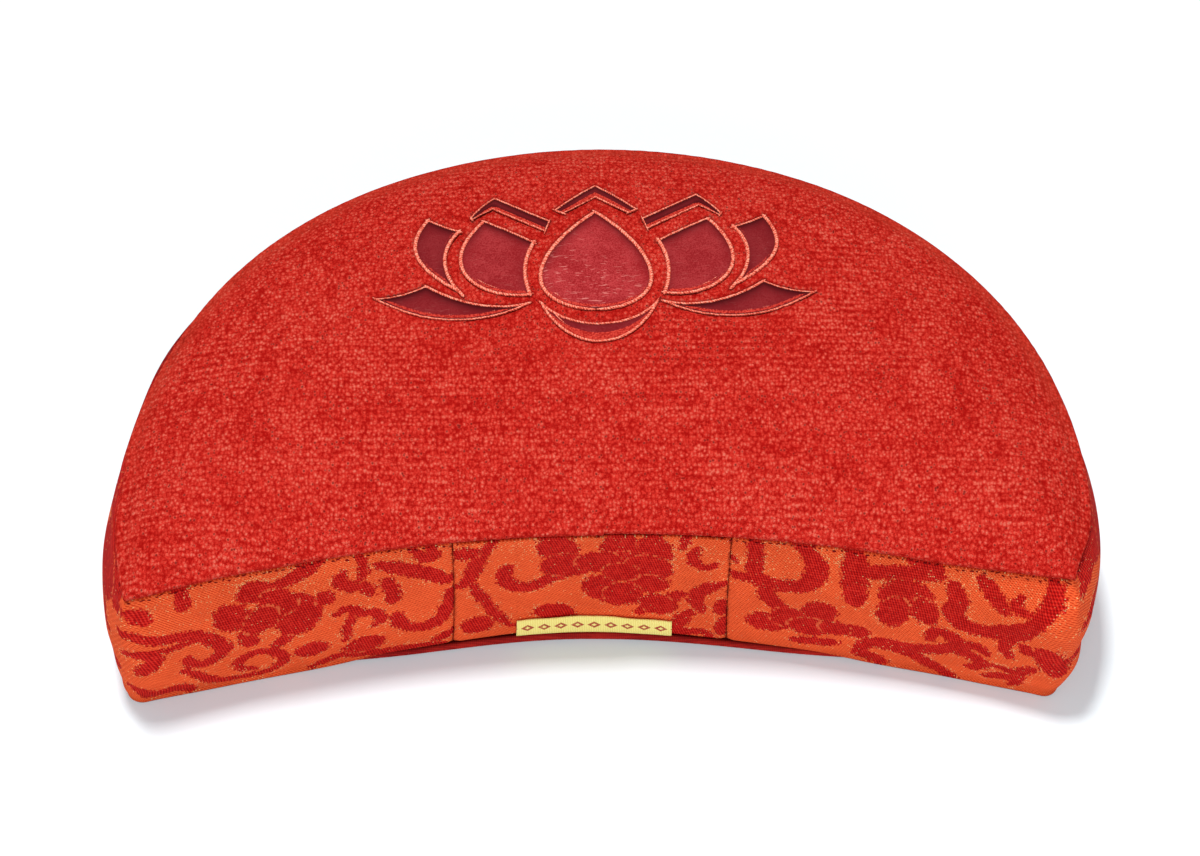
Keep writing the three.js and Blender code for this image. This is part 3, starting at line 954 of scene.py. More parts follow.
@dataclass
class EffectLibrary:
    """Builds each shared effect once, as a node group, and places it in materials."""

    made: dict[Effect, bpy.types.NodeTree] = field(default_factory=dict)

    def add(self, graph: Graph, effect: Effect, **inputs: object) -> list[Term]:
        """Places an effect in a material.

        Args:
            graph: the material's graph.
            effect: which effect.
            **inputs: the group's inputs by name.

        Returns:
            Its outputs.
        """
        if effect not in self.made:
            self.made[effect] = self._group(effect)
        return graph.node("Group", {"node_tree": self.made[effect]}, **inputs)

    def _group(self, effect: Effect) -> bpy.types.NodeTree:
        """Makes an effect's group: its sockets, and between them the nodes of its method.

        Args:
            effect: which effect; an input whose usual value is None is a vector.

        Returns:
            The group.
        """
        name, inputs, outputs = effect.value
        tree = bpy.data.node_groups.new(name, "ShaderNodeTree")
        for key, usual in inputs.items():
            kind = "NodeSocketVector" if usual is None else "NodeSocketFloat"
            socket = tree.interface.new_socket(key, in_out="INPUT", socket_type=kind)
            if usual is not None:
                socket.default_value = usual
        for key in outputs:
            tree.interface.new_socket(key, in_out="OUTPUT", socket_type="NodeSocketFloat")
        entry, leaving = tree.nodes.new("NodeGroupInput"), tree.nodes.new("NodeGroupOutput")
        g = Graph(tree)
        terms = [Term(g, entry.outputs[key]) for key in inputs]
        for key, term in zip(outputs, getattr(self, "_" + effect.name.lower())(g, *terms)):
            g.wire(term, leaving.inputs[key])
        return tree

    def _blotches(self, g: Graph, place: Term, size: Term, strength: Term) -> tuple[Term, ...]:
        """Soft light and dark patches of two sizes; 0.5 is neither."""
        wide = g.noise(g.vector("DIVIDE", place, size), detail=1.0)
        small = g.noise(g.vector("DIVIDE", place, size * 0.28))
        return ((wide * 0.6 + small * 0.4 - 0.5) * strength + 0.5,)

    def _nubs(
        self, g: Graph, place: Term, width: Term, depth: Term, row: Term, rows: Term
    ) -> tuple[Term, ...]:
        """Small tufts in faint rows: domes of cells, broken up by fibres; some glint or sink."""
        swayed = g.swayed(place, 0.2, (1.2, 1.0, 0.0))
        size = g.node("CombineXYZ", None, X=width, Y=depth, Z=depth)[0]
        far, own, glinting, sunk = g.cells(g.vector("DIVIDE", swayed, size), 0.75)
        fibre = g.noise(g.vector("MULTIPLY", swayed, (0.75, 1.2, 1.0)), 1.25) - 0.5
        fine = g.noise(swayed, 2.7, 1.0) - 0.5
        across = g.node("SeparateXYZ", None, Vector=swayed)[1]
        wave = g.math("SINE", across * TAU / row)
        dome = far * -1.3 + 0.86 + (own - 0.5) * 0.34
        height = dome + fibre * 0.6 + fine * 1.7 + wave * 0.16 * rows + 0.14
        near = g.span(far, 0.42, 0.16)
        glint = near * g.math("GREATER_THAN", glinting, 0.8)
        return height, glint, near * g.math("LESS_THAN", sunk, 0.17)

    def _cells(
        self, g: Graph, place: Term, across: Term, up: Term, slant: Term, uneven: Term, bars: Term
    ) -> tuple[Term, ...]:
        """Woven cells: bars along one way, rows along the other, and a chance for each thread."""
        moved = g.swayed(place, 0.35, uneven * 2.0, 1.0)
        x, y, _ = g.node("SeparateXYZ", None, Vector=moved)
        bar = g.math("SINE", (y * slant + x) * TAU / across)
        row = g.math("SINE", y * TAU / up)
        size = g.node("CombineXYZ", None, X=across, Y=up, Z=1.0)[0]
        chance = g.cells(g.vector("DIVIDE", moved, size), 0.45, "CHEBYCHEV")[1]
        return ((bar - row) * bars + row) * 0.5 + 0.5, g.noise(moved, 1.3), chance

    def _fibres(
        self, g: Graph, place: Term, length: Term, width: Term, amount: Term
    ) -> tuple[Term, ...]:
        """Short pale fibres that lie across a pile, thin lines of a stretched noise."""
        size = g.node("CombineXYZ", None, X=length, Y=width, Z=width)[0]
        swayed = g.swayed(place, 0.12, (0.0, 3.0, 0.0))
        low = 0.82 - amount
        return (g.span(g.noise(g.vector("DIVIDE", swayed, size), detail=1.0), low, low + 0.06),)

    def _specks(self, g: Graph, place: Term, size: Term, share: Term) -> tuple[Term, ...]:
        """Bright specks where gold threads surface: cells picked at random at a given share."""
        far, chance = g.cells(g.vector("DIVIDE", place, size), 0.8)[:2]
        return (g.math("LESS_THAN", chance, share) * g.span(far, 0.5, 0.12),)


EFFECTS = EffectLibrary()


@dataclass(frozen=True)
class Finish:
    """A cloth: its name and the constants of its surface; subclasses wire colour and relief."""

    name: str = "cloth"
    roughness: float = 0.9
    sheen: float = 0.0
    sheen_roughness: float = 0.4
    sheen_colour: str = "#ffffff"
    gloss: float = 0.05
    relief: float = 0.3

    def material(self) -> bpy.types.Material:
        """Makes the material.

        Returns:
            The material, with its colour and relief wired.
        """
        made = bpy.data.materials.new(self.name)
        made.use_nodes = True
        made.node_tree.nodes.clear()
        g = Graph(made.node_tree)
        colour, height = self.surface(g)
        bump = g.node("Bump", None, Height=height, Distance=self.relief * MM, Strength=1.0)[0]
        shader = g.node(
            "BsdfPrincipled",
            None,
            Base_Color=colour,
            Normal=bump,
            Roughness=self.roughness,
            Sheen_Weight=self.sheen,
            Sheen_Roughness=self.sheen_roughness,
            Sheen_Tint=self.sheen_colour,
            Specular_IOR_Level=self.gloss,
        )[0]
        g.node("OutputMaterial", None, Surface=shader)
        return made

    def surface(self, g: Graph) -> tuple[Term, Term]:
        """Colour and height of the cloth; height is in shares of the relief."""
        raise NotImplementedError


@dataclass(frozen=True)
class ChenilleFinish(Finish):
    """Red chenille: small soft tufts with painted shade between them, coral tips and a few painted
    glints.
    """

    name: str = "red_chenille"
    roughness: float = 1.0
    sheen: float = 0.08
    sheen_colour: str = "#ff4a30"
    gloss: float = 0.0
    relief: float = 0.5
    body: str = "#d13228"
    dark: str = "#a8120f"
    tip: str = "#e36a57"
    glint: str = "#ea8c78"
    pit: str = "#6a0508"
    edge: str = "#c0422e"
    # Colour of the painted shade in grooves and at the seam.
    groove: str = "#4c080a"

    def surface(self, g: Graph) -> tuple[Term, Term]:
        """Tufts and rows, blotched, with painted shade in the grooves beside the lotus, in the
        seam and on the hidden underside; the rolled rim is made duller and even.
        """
        place = g.place()
        rows = g.span(g.noise(place, 0.02, 1.0), 0.4, 0.65, (0.1, 0.9))
        height, glint, pit = EFFECTS.add(g, Effect.NUBS, Place=place, Rows=rows)
        blotch = EFFECTS.add(g, Effect.BLOTCHES, Place=place, Size=26.0, Strength=1.0)[0]
        # On the rolled rim, more so towards the back, the texture is evened and mixed to a duller,
        # darker red: partly painted shade where the rim turns away.
        rolled = g.attribute("rolled")
        # The tone follows the tufts' height and random blotches; the dark between the tufts is
        # painted shade.
        tone = (blotch - 0.5) * 0.75 + height
        tone = tone + (0.5 - tone) * (rolled * 0.2)
        # Painted shade: the pile is darkened where it is parted beside the satin lines, in the
        # seam's groove and on the underside.
        groove = (height - 0.5) * 0.4 + g.attribute("groove")
        colour = g.painted(
            g.mix(g.span(tone, -0.1, 0.5), self.dark, self.body),
            (g.span(tone, 0.5, 1.1), self.tip),
            (glint * 0.22, self.glint),
            (pit * 0.85, self.pit),
            (rolled * 0.3, self.edge),
            (g.span(groove, 0.12, 0.8, (0.0, 0.85)), self.groove),
        )
        return colour, height


@dataclass(frozen=True)
class VelvetFinish(Finish):
    """Burgundy velvet: fine grain, painted shade under the patch's upper edges, red along the
    lower ones.
    """

    name: str = "burgundy_velvet"
    roughness: float = 0.95
    sheen: float = 0.08
    sheen_colour: str = "#ff6868"
    body: str = "#8c1a1e"
    light: str = "#ae383a"
    dark: str = "#38060b"
    deep: str = "#601319"
    pale: str = "#f09a90"
    red: str = "#961610"
    red_tip: str = "#cc4234"

    def surface(self, g: Graph) -> tuple[Term, Term]:
        """Grain and pale fibres; "deep" and "shade" darken, and "rim" reddens."""
        place = g.place()
        grain = g.noise(place, 1.5)
        blotch = EFFECTS.add(g, Effect.BLOTCHES, Place=place, Size=16.0, Strength=2.2)[0]
        fibres = EFFECTS.add(g, Effect.FIBRES, Place=place, Length=4.6, Width=0.6, Amount=0.19)[0]
        tone = grain * 0.85 + blotch * 0.25
        shade = (grain - 0.5) * 0.7 + g.attribute("shade")
        rim = (grain - 0.5) * 0.9 + g.attribute("rim")
        tufts = g.span(g.noise(place, 1.5, 1.0), 0.35, 0.65)
        colour = g.painted(
            g.mix(g.span(tone, 0.4, 0.72), self.body, self.light),
            (g.attribute("deep") * 0.8, self.deep),
            (fibres * g.attribute("fibres") * 0.42, self.pale),
            (g.span(shade, 0.02, 1.0, (0.0, 0.92)), self.dark),
            (g.span(rim, 0.3, 0.7, (0.0, 0.9)), g.mix(tufts, self.red, self.red_tip)),
        )
        return colour, grain


@dataclass(frozen=True)
class SatinFinish(Finish):
    """Coral satin stitch: slanting threads, with a painted highlight on the cord's top and the
    stitches' backs, and painted shade underneath and between stitches.
    """

    name: str = "coral_satin_stitch"
    roughness: float = 0.7
    sheen: float = 0.1
    sheen_colour: str = "#ff9a80"
    gloss: float = 0.15
    body: str = "#d95640"
    light: str = "#ff9f86"
    dark: str = "#98201a"
    pitch: float = 1.3

    def surface(self, g: Graph) -> tuple[Term, Term]:
        """Stitches slant round the cord by the attribute "cord": length and angle."""
        length, angle, _ = g.node("SeparateXYZ", None, Vector=g.attribute("cord", "Vector"))
        slant = g.noise(g.place(), 0.5, 1.0) * 1.6 + angle * 0.4 + length
        wave = g.math("SINE", slant * (TAU / self.pitch))
        grain = g.noise(g.place(), 0.9, 3.0) * 2.0 - 0.5
        # Painted highlight and shade: lighter on the cord's top and darker underneath by the angle
        # round it, and darker between the stitches.
        tone = wave * 0.2 + g.math("SINE", angle) * 0.3 + grain
        colour = g.mix(g.span(tone, 0.55, 1.15), self.body, self.light)
        return g.mix(g.span(tone, 0.68, 0.24, (0.0, 0.85)), colour, self.dark), tone


@dataclass(frozen=True)
class BrocadeFinish(Finish):
    """Orange brocade with dark red motifs and gold threads that surface along their edges."""

    name: str = "orange_brocade"
    roughness: float = 0.85
    gloss: float = 0.03
    relief: float = 0.55
    ground: str = "#fc6838"
    ground_dark: str = "#d03814"
    motif: str = "#d01a14"
    motif_dark: str = "#960609"
    motif_light: str = "#de3a2c"
    vein: str = "#ee6a40"
    # Colour of the painted shade in creases and seams.
    crease: str = "#6c0a0c"
    gold: str = "#ffdc96"
    shaded: str = "#96180e"

    def surface(self, g: Graph) -> tuple[Term, Term]:
        """The attribute "weave" is way and height; "motif" is the depth into a motif."""
        weave = g.attribute("weave", "Vector")
        kinds = (
            {"Across": 1.7, "Up": 1.35, "Slant": 0.9, "Bars": 0.55},
            {"Across": 1.25, "Up": 2.0, "Slant": 0.25, "Bars": 0.6},
            {"Across": 0.9, "Up": 2.5, "Slant": 0.15},
        )
        rib, cell, comb = (EFFECTS.add(g, Effect.CELLS, Place=weave, **kind) for kind in kinds)
        step = comb[2] - 0.5
        depth = (comb[0] - 0.5) * 0.8 + step * 2.2 + g.attribute("motif")
        inside = g.span(depth, -0.25, 0.25)
        line = rib[1] * 0.5 + rib[0]
        knot = (cell[2] - 0.5) * 0.4 + cell[0]
        motif = g.painted(
            g.mix(g.span(knot, 0.15, 0.62), self.motif_dark, self.motif),
            (g.span(knot, 0.6, 1.0, (0.0, 0.8)), self.motif_light),
        )
        vein = g.span(g.attribute("vein"), 1.2, 0.3) * g.span(step, -0.1, 0.15)
        near = g.span(depth, -3.6, -0.4) * g.span(depth, 1.2, -0.2)
        height = g.node("SeparateXYZ", None, Vector=weave)[1]
        at_seam = g.span(height, 66.0, 97.0, (0.0, 0.16)) * g.span(depth, 2.0, -1.0, (0.1, 1.0))
        cloudy = g.span(g.noise(weave, 0.07, 1.0), 0.35, 0.7, (0.3, 1.6))
        share = (near * 0.4 + at_seam + 0.02) * cloudy
        specks = EFFECTS.add(g, Effect.SPECKS, Place=weave, Size=0.85, Share=share)[0]
        blotch = EFFECTS.add(g, Effect.BLOTCHES, Place=g.place(), Size=30.0, Strength=1.0)[0]
        # Painted shade in the creases: under the rolled edge, at the seams and at the pressed
        # fold.
        crease = step * 0.5 + g.attribute("crease")
        colour = g.painted(
            g.mix(g.span(line, 0.3, 1.0), self.ground_dark, self.ground),
            (inside, motif),
            (vein * 0.8, self.vein),
            (specks, self.gold),
            (g.span(blotch, 0.3, 0.7, (0.2, 0.0)), self.shaded),
            (g.span(crease, 0.25, 1.0, (0.0, 0.8)), self.crease),
        )
        relief = g.node("Mix", {"data_type": "FLOAT"}, i0=inside, i2=line, i3=knot)[0]
        return colour, specks * 0.3 + inside * 0.4 + relief


@dataclass(frozen=True)
class PlainClothFinish(Finish):
    """Plain woven cloth of one colour."""

    name: str = "red_cotton"
    relief: float = 0.15
    body: str = "#b2261f"
    dark: str = "#841617"

    def surface(self, g: Graph) -> tuple[Term, Term]:
        """A small square weave with soft blotches."""
        place = g.place()
        weave = EFFECTS.add(g, Effect.CELLS, Place=place, Across=0.9, Up=0.9, Unevenness=0.15)[0]
        blotch = EFFECTS.add(g, Effect.BLOTCHES, Place=place, Size=25.0, Strength=1.0)[0]
        return g.mix(g.span(weave * 0.4 + blotch, 0.45, 0.95), self.dark, self.body), weave


@dataclass(frozen=True)
class RibbonFinish(Finish):
    """A yellow woven ribbon with a row of plain lozenges."""

    name: str = "yellow_ribbon"
    roughness: float = 0.6
    relief: float = 0.12
    body: str = "#f8ec96"
    dark: str = "#e2c860"
    figure: str = "#a8402e"
    pitch: float = 7.6
    lozenge: tuple[float, float] = (3.0, 3.0)

    def surface(self, g: Graph) -> tuple[Term, Term]:
        """The attribute "weave" is way along and across the ribbon from its middle line."""
        weave = g.attribute("weave", "Vector")
        height, thread, _ = EFFECTS.add(
            g, Effect.CELLS, Place=weave, Across=0.8, Up=0.9, Unevenness=0.2
        )
        along, across, _ = g.node("SeparateXYZ", None, Vector=weave)
        way = g.math("ABSOLUTE", g.math("WRAP", along, self.pitch / 2, -self.pitch / 2))
        far = way / self.lozenge[0] + g.math("ABSOLUTE", across) / self.lozenge[1]
        outline = g.span(far, 1.12, 0.98) * g.span(far, 0.34, 0.48)
        worn = outline * g.span(thread, 0.25, 0.5, (0.45, 1.0))
        colour = g.mix(g.span(height, 0.2, 0.7), self.dark, self.body)
        return g.mix(worn, colour, self.figure), height


@dataclass(frozen=True)
class FloorFinish:
    """A plain white studio floor."""

    name: str = "studio_floor"
    albedo: tuple[float, float, float] = (0.68, 0.735, 0.755)
    glow: tuple[float, float, float] = (0.13, 0.17, 0.19)

    def material(self) -> bpy.types.Material:
        """Makes the material: a pale matt surface that glows a little."""
        made = bpy.data.materials.new(self.name)
        made.use_nodes = True
        shader = made.node_tree.nodes["Principled BSDF"]
        for key, value in {
            "Base Color": (*self.albedo, 1.0),
            "Roughness": 1.0,
            "Specular IOR Level": 0.0,
            "Emission Color": (*self.glow, 1.0),
            "Emission Strength": 1.0,
        }.items():
            shader.inputs[key].default_value = value
        return made


# ---------------------------------------------------------------- the filled body


@dataclass
class FilledBody:
    """The filling and its chenille top: crown, rolled edge, hidden wall and rounded foot.

    Attributes:
        columns: steps along the front edge and along the rim.
        rows: steps from front to back.
        edge_inset: where the crown gives way to the rings of the edge.
        tuft_height: unevenness of the pile.
        crown_insets: distances of the outer crown's rings from the outline.
        rolled_edge: for each ring of the rolled edge its offset, its height over the seam, and
            how deep it lies in the seam's groove, which also sets the painted shade there.
        foot: for each ring of the foot its inset and its height over the bottom panel.
    """

    columns: int = 480
    rows: int = 158
    edge_inset: float = 10.5
    tuft_height: float = 0.1
    crown_insets: tuple[float, ...] = (10.5, 8.2, 6.2, 4.6, 3.2)
    rolled_edge: tuple[tuple[float, float, float], ...] = (
        (-1.9, 5.9, 0.0),
        (-0.6, 5.5, 0.0),
        (0.4, 4.8, 0.0),
        (0.9, 3.8, 0.1),
        (0.9, 2.7, 0.35),
        (0.6, 1.7, 0.75),
        (0.0, 0.9, 1.0),
        (-0.6, 0.2, 1.0),
    )
    foot: tuple[tuple[float, float], ...] = ((1.2, 0.9), (3.4, 0.1))

    def ring_way(self) -> Array:
        """Ways along the outline of the ring's points: the front edge, then back round the rim."""
        front, rim = self.edge_ways()
        return np.concatenate([front, rim[::-1][1:-1]])

    def edge_ways(self) -> tuple[Array, Array]:
        """Ways of the front edge and of the rim, left to right, closer in the middle."""
        half, whole = SHAPE.corner_middle, SHAPE.length
        share = np.linspace(-1, 1, self.columns + 1)
        eased = 0.65 * share + 0.35 * share**3
        return half * eased, whole / 2 - (whole / 2 - half) * eased

    def crescent(self, offset: float, rows: int) -> tuple[Array, Array]:
        """A crescent in plan: straight lines from the front edge to the rim.

        Args:
            offset: offset of its outline.
            rows: number of steps from front to back.

        Returns:
            X and Y, of rows + 1 by columns + 1.
        """
        front, rim = (SHAPE.rim(way, offset) for way in self.edge_ways())
        share = np.linspace(0, 1, rows + 1)[:, None]
        dense, where = 0.35, 0.15
        eased = share + dense * (np.sin(TAU * (share - where)) + math.sin(TAU * where)) / TAU
        return tuple(a + (b - a) * eased for a, b in zip(front, rim))

    def top(self, lotus: Lotus) -> Skin:
        """The crown as a crescent, its pile uneven, pressed down beside the lotus's edging."""
        x, y = self.crescent(-self.edge_inset, self.rows)
        groove = lotus.groove(x, y)
        z = SHAPE.top_height(x, y) + self.softness(x, y) - 0.7 * groove - 0.5 * lotus.covered(x, y)
        # The groove value also paints shade on the pile beside the satin lines.
        return Skin.of_grid(SHAPE.settled(spots(x, y, z)), groove=groove, rolled=0 * x)

    def softness(self, x: Array, y: Array) -> Array:
        """Slight hollows of the filling under the panel, and the unevenness of the pile."""
        hollows = 0.5 * ripple(x, y, 60, 3) + 0.22 * ripple(x, y, 18, 4)
        return hollows + self.tuft_height * ripple(x, y, 5, 6)

    def edge(self) -> Skin:
        """Rings from the crown out over the rolled edge and down the wall to the foot."""
        way = self.ring_way()
        rings = []

        def ring(
            offset: Array | float,
            height: Array | float | None,
            squared: float = 0.0,
            groove: Array | float = 1.0,
            roll: float = 1.0,
        ) -> None:
            """Adds a ring at an offset from the outline; its height is the crown's if None."""
            x, y = SHAPE.rim(way, offset, squared)
            z = SHAPE.top_height(x, y) + self.softness(x, y) if height is None else height
            rings.append((spots(x, y, z), groove + 0 * way, roll))

        first, last = self.crown_insets[0], self.crown_insets[-1]
        for inset in self.crown_insets:
            ring(-inset, None, 1.0, 0.0, 1 - (inset - last) / (first - last))
        # The seam's groove is painted in shade, broken into spots at about the stitch pitch.
        beat = np.sin(TAU * way / 3.2 + 4 * ripple(way, 0 * way, 22, 5))
        spotty = np.clip(0.45 + 0.9 * beat, 0.12, 1)
        drawn_in = 1.3 * bell(way - SHAPE.length + 355, 42)
        for offset, height, groove in self.rolled_edge:
            scatter = 0.5 * self.tuft_height * ripple(way, height + 0 * way, 6, 7)
            scatter = scatter + 0.35 * groove * ripple(way, 0 * way, 3.4, 8)
            pucker = 0.35 * beat * groove
            z = SHAPE.top_seam + height + scatter
            ring(offset + pucker + scatter - drawn_in, z, 1.0, groove * spotty)
        for share in np.linspace(0.97, 0, 9):
            pushed = SHAPE.filling.push(way, share + 0 * way, SHAPE.length)
            behind_cloth = SHAPE.wall_offset(share) - SHAPE.cloth - 0.6
            ring(behind_cloth + pushed, SHAPE.bottom_seam + SHAPE.tall * share)
        for inset, height in self.foot:
            under = SHAPE.cloth + 2 * SHAPE.gap + height
            ring(-SHAPE.bottom_inset - SHAPE.cloth - inset, under)
        places, groove_shades, rolls = (np.stack(values) for values in zip(*rings))
        points = SHAPE.settled(places)
        # Strongest at the crown's edge towards the back, where the rim gets its painted shade.
        rolled = rolls[:, None] * unit((points[..., 1] - 10) / 60)
        return Skin.of_grid(points, wrap=True, groove=groove_shades, rolled=rolled)

    def underside(self) -> Skin:
        """The flat underside of the filling, which the bottom panel hides."""
        inset, height = self.foot[-1]
        x, y = self.crescent(-SHAPE.bottom_inset - SHAPE.cloth - inset, 12)
        points = SHAPE.settled(spots(x, y, SHAPE.cloth + 2 * SHAPE.gap + height))
        # The hidden underside is painted wholly in groove shade.
        return Skin.of_grid(points, groove=np.ones(x.shape)).turned()

    def coarse(self, smaller: float) -> Skin:
        """A plain closed cushion for the simulation: crown, wall and underside.

        Args:
            smaller: how much smaller than the shape it is.

        Returns:
            The skin, with "way" and "share" along its wall and "held" at its seams.
        """
        x, y = self.crescent(-smaller, self.rows)
        above = spots(x, y, SHAPE.top_height(x, y) - smaller)
        below = spots(x, y, SHAPE.bottom_seam + smaller)
        low, high = below[0, 0, 2], above[0, 0, 2]
        way, levels = self.ring_way(), np.linspace(1, 0, SHAPE.filling.levels)
        rings = []
        for share in levels:
            out = SHAPE.wall_offset(share) * (0 < share < 1) - smaller
            rings.append(spots(*SHAPE.rim(way, out), low + (high - low) * share))
        shares, ways = np.meshgrid(levels, np.mod(way, SHAPE.length), indexing="ij")
        ends = (shares == 0) | (shares == 1)
        wall = Skin.of_grid(np.stack(rings), wrap=True, way=ways, share=shares, held=ends)
        held = np.ones(x.shape)
        held[1:-1, 1:-1] = 0
        top, under = (
            Skin.of_grid(plane, way=0 * x, share=0 * x - 1, held=held) for plane in (above, below)
        )
        return Skin.joined([wall.turned(), top, under.turned()]).welded()

    def build(self, lotus: Lotus, chenille: bpy.types.Material) -> bpy.types.Object:
        """Makes the body.

        Args:
            lotus: presses its grooves into the top.
            chenille: finish of the top.

        Returns:
            The piece that stands for the CAD node "cushion".
        """
        skin = Skin.joined([self.top(lotus), self.edge().turned(), self.underside()]).welded()
        piece = skin.dress("chenille_body", chenille, "cushion", "chenille")
        return piece


# ---------------------------------------------------------------- the lotus


class Edge(Enum):
    """The two edges of a patch."""

    LEFT = 0
    RIGHT = 1


@dataclass(frozen=True)
class Stroke:
    """One line of satin stitch along curves of a patch's edge.

    Attributes:
        edge: which edge.
        first: first curve of the edge.
        last: the curve before which the line stops.
        half_wide: half width in millimetres.
        before: length by which the line starts early.
        after: length by which it runs on.
        inner: share of the line along which a second, thin line runs inside; (0, 0) for none.
    """

    edge: Edge
    first: int
    last: int
    half_wide: float
    before: float = 0.6
    after: float = 0.6
    inner: tuple[float, float] = (0.0, 0.0)


@dataclass(frozen=True)
class Patch:
    """A velvet patch between two edges that run from its start to its end.

    Attributes:
        name: name of the CAD node, without its side.
        left: handles of the left edge, one point and then three for each cubic curve.
        right: handles of the right edge.
        strokes: its satin stitch.
        pair: whether it has a mirrored twin.
        red: share across from which the patch is red to its right edge; 1 for none.
        closed: whether short strokes close its two ends.
        deep: how much darker its velvet is.
        fibres: how plainly pale fibres show on it.
    """

    name: str
    left: tuple[tuple[float, float], ...]
    right: tuple[tuple[float, float], ...]
    strokes: tuple[Stroke, ...]
    pair: bool = False
    red: float = 1.0
    closed: bool = False
    deep: float = 0.8
    fibres: float = 0.15

    @staticmethod
    def curve(
        handles: tuple[tuple[float, float], ...], first: int, last: int, steps: int
    ) -> Array:
        """Points of cubic Bezier curves, the cubic polynomial in each one's four handles.

        Args:
            handles: the edge's handles.
            first: first curve.
            last: the curve before which it stops.
            steps: steps for each curve.

        Returns:
            Points, n x 2.
        """
        found = []
        t = np.linspace(0, 1, steps + 1)[:, None]
        for k in range(first, last):
            a, b, c, d = (np.array(p) for p in handles[3 * k : 3 * k + 4])
            u = 1 - t
            points = a * u**3 + 3 * b * t * u**2 + 3 * c * t**2 * u + d * t**3
            found.append(points if k == first else points[1:])
        return np.concatenate(found)

    def edge(self, which: Edge, first: int = 0, last: int | None = None) -> Array:
        """Points of an edge, evenly spaced along it.

        Args:
            which: which edge.
            first: first curve.
            last: the curve before which it stops; None for the end.

        Returns:
            Points, 120 x 2.
        """
        handles = (self.left, self.right)[which.value]
        count = (len(handles) - 1) // 3
        return evenly(self.curve(handles, first, count if last is None else last, 60), 120)

    def cut(self) -> tuple[float, float, float]:
        """The flat cloth: its width, its length along the edges and its area."""
        left, right = self.edge(LEFT), self.edge(RIGHT)
        width = max(float(np.linalg.norm(left - right, axis=1).max()), 10.0)
        length = float(lengths((left + right) / 2)[-1])
        area = enclosed(*np.concatenate([left, right[::-1]]).T)
        return width, length, min(area, width * length)


LEFT, RIGHT = Edge.LEFT, Edge.RIGHT

PATCHES = (
    Patch(
        "lotus_centre",
        ((0, -0.5), (-13, -0.5), (-25.5, 6), (-25.5, 17.5), (-25.5, 31), (-12, 46), (0, 56)),
        ((0, -0.5), (13, -0.5), (25.5, 6), (25.5, 17.5), (25.5, 31), (12, 46), (0, 56)),
        (
            Stroke(LEFT, 0, 2, 1.25, 0.0, 0.2, (0.0, 0.3)),
            Stroke(RIGHT, 0, 2, 1.25, 0.0, 1.6, (0.0, 0.26)),
        ),
        deep=0.0,
        fibres=1.0,
    ),
    Patch(
        "lotus_base",
        ((-26, 2), (-14, -13.5), (14, -13.5), (26, 2)),
        ((-26, 2), (-14, -26), (14, -26), (26, 2)),
        (
            Stroke(LEFT, 0, 1, 0.95, 1.8, 0.6),
            Stroke(RIGHT, 0, 1, 0.95, 1.2, 2.2, (0.12, 0.55)),
        ),
        red=0.56,
    ),
    Patch(
        "lotus_back",
        ((-18.5, 57.5), (-12, 64), (-6, 69), (0, 73.5), (6, 69), (12, 64), (18.5, 57.5)),
        ((-15, 55.5), (-9, 59.5), (-4, 63), (0, 66), (4, 63), (9, 59.5), (15, 55.5)),
        (
            Stroke(LEFT, 0, 1, 0.6, 0.2, 0.4),
            Stroke(LEFT, 1, 2, 0.65, 0.3, 0.2),
            Stroke(RIGHT, 0, 1, 0.42, 0.0, 0.4),
            Stroke(RIGHT, 1, 2, 0.6, 0.4, 0.2),
        ),
        red=0.64,
        closed=True,
    ),
    Patch(
        "lotus_inner",
        ((30, 8.5), (32.5, 16), (33.5, 27), (27.5, 38), (35, 43), (42, 47.5), (50, 52)),
        ((30, 8.5), (42, 6), (61, 13), (61, 29), (61, 37), (56, 45), (50, 52)),
        (
            Stroke(LEFT, 0, 1, 1.25, 1.2, 1.6),
            Stroke(LEFT, 1, 2, 0.75, 1.4, 1.4),
            Stroke(RIGHT, 0, 2, 1.2, 1.6, 0.8, (0.05, 0.42)),
        ),
        pair=True,
        deep=0.3,
    ),
    Patch(
        "lotus_outer",
        ((63, 12), (69, 20), (72.5, 34), (62, 46.5), (67, 48.5), (71, 51), (76, 54.5)),
        ((63, 12), (75, 20), (82, 29), (82, 38), (82, 44), (79.5, 49), (76, 54.5)),
        (
            Stroke(LEFT, 0, 1, 1.15, 4.5, 1.6),
            Stroke(LEFT, 1, 2, 0.75, 1.8, 1.2),
            Stroke(RIGHT, 0, 2, 1.2, 0.4, 1.2),
        ),
        pair=True,
    ),
    Patch(
        "lotus_leaf",
        ((30.5, 2.5), (45, -1.5), (62, 3), (76, 14), (82, 10.5), (91, 7.5), (99, 8)),
        ((30.5, 2.5), (43, -5), (60, -8), (77, -3.5), (85, -1), (92, 3), (99, 8)),
        (
            Stroke(LEFT, 0, 1, 1.0, 2.0, 1.2),
            Stroke(LEFT, 1, 2, 0.6, 0.4, 0.8),
            Stroke(RIGHT, 0, 2, 0.7, 1.5, 1.6, (0.2, 0.85)),
        ),
        pair=True,
    ),
    Patch(
        "lotus_back_tip",
        ((21, 51), (29, 56), (38, 62), (46, 67.5), (50, 64), (54, 60), (57, 55)),
        ((23, 45), (31, 50), (39, 55), (47, 60.5), (51, 58), (54, 56), (56.5, 54)),
        (
            Stroke(LEFT, 0, 1, 0.68, 0.4, 0.6),
            Stroke(LEFT, 1, 2, 0.55, 0.5, 0.8),
            Stroke(RIGHT, 0, 1, 0.6, 0.2, 0.4),
            Stroke(RIGHT, 1, 2, 0.4, 0.0, 0.2),
        ),
        pair=True,
        red=0.74,
        closed=True,
    ),
)


@dataclass(frozen=True)
class Laid:
    """How far a patch lies off the drawing, as it was cut and laid by hand.

    Attributes:
        x: way to the right.
        y: way to the back.
        turn: degrees by which it is turned round its middle.
        wide: how much wider it is.
        tall: how much deeper it is.
    """

    x: float = 0.0
    y: float = 0.0
    turn: float = 0.0
    wide: float = 1.0
    tall: float = 1.0


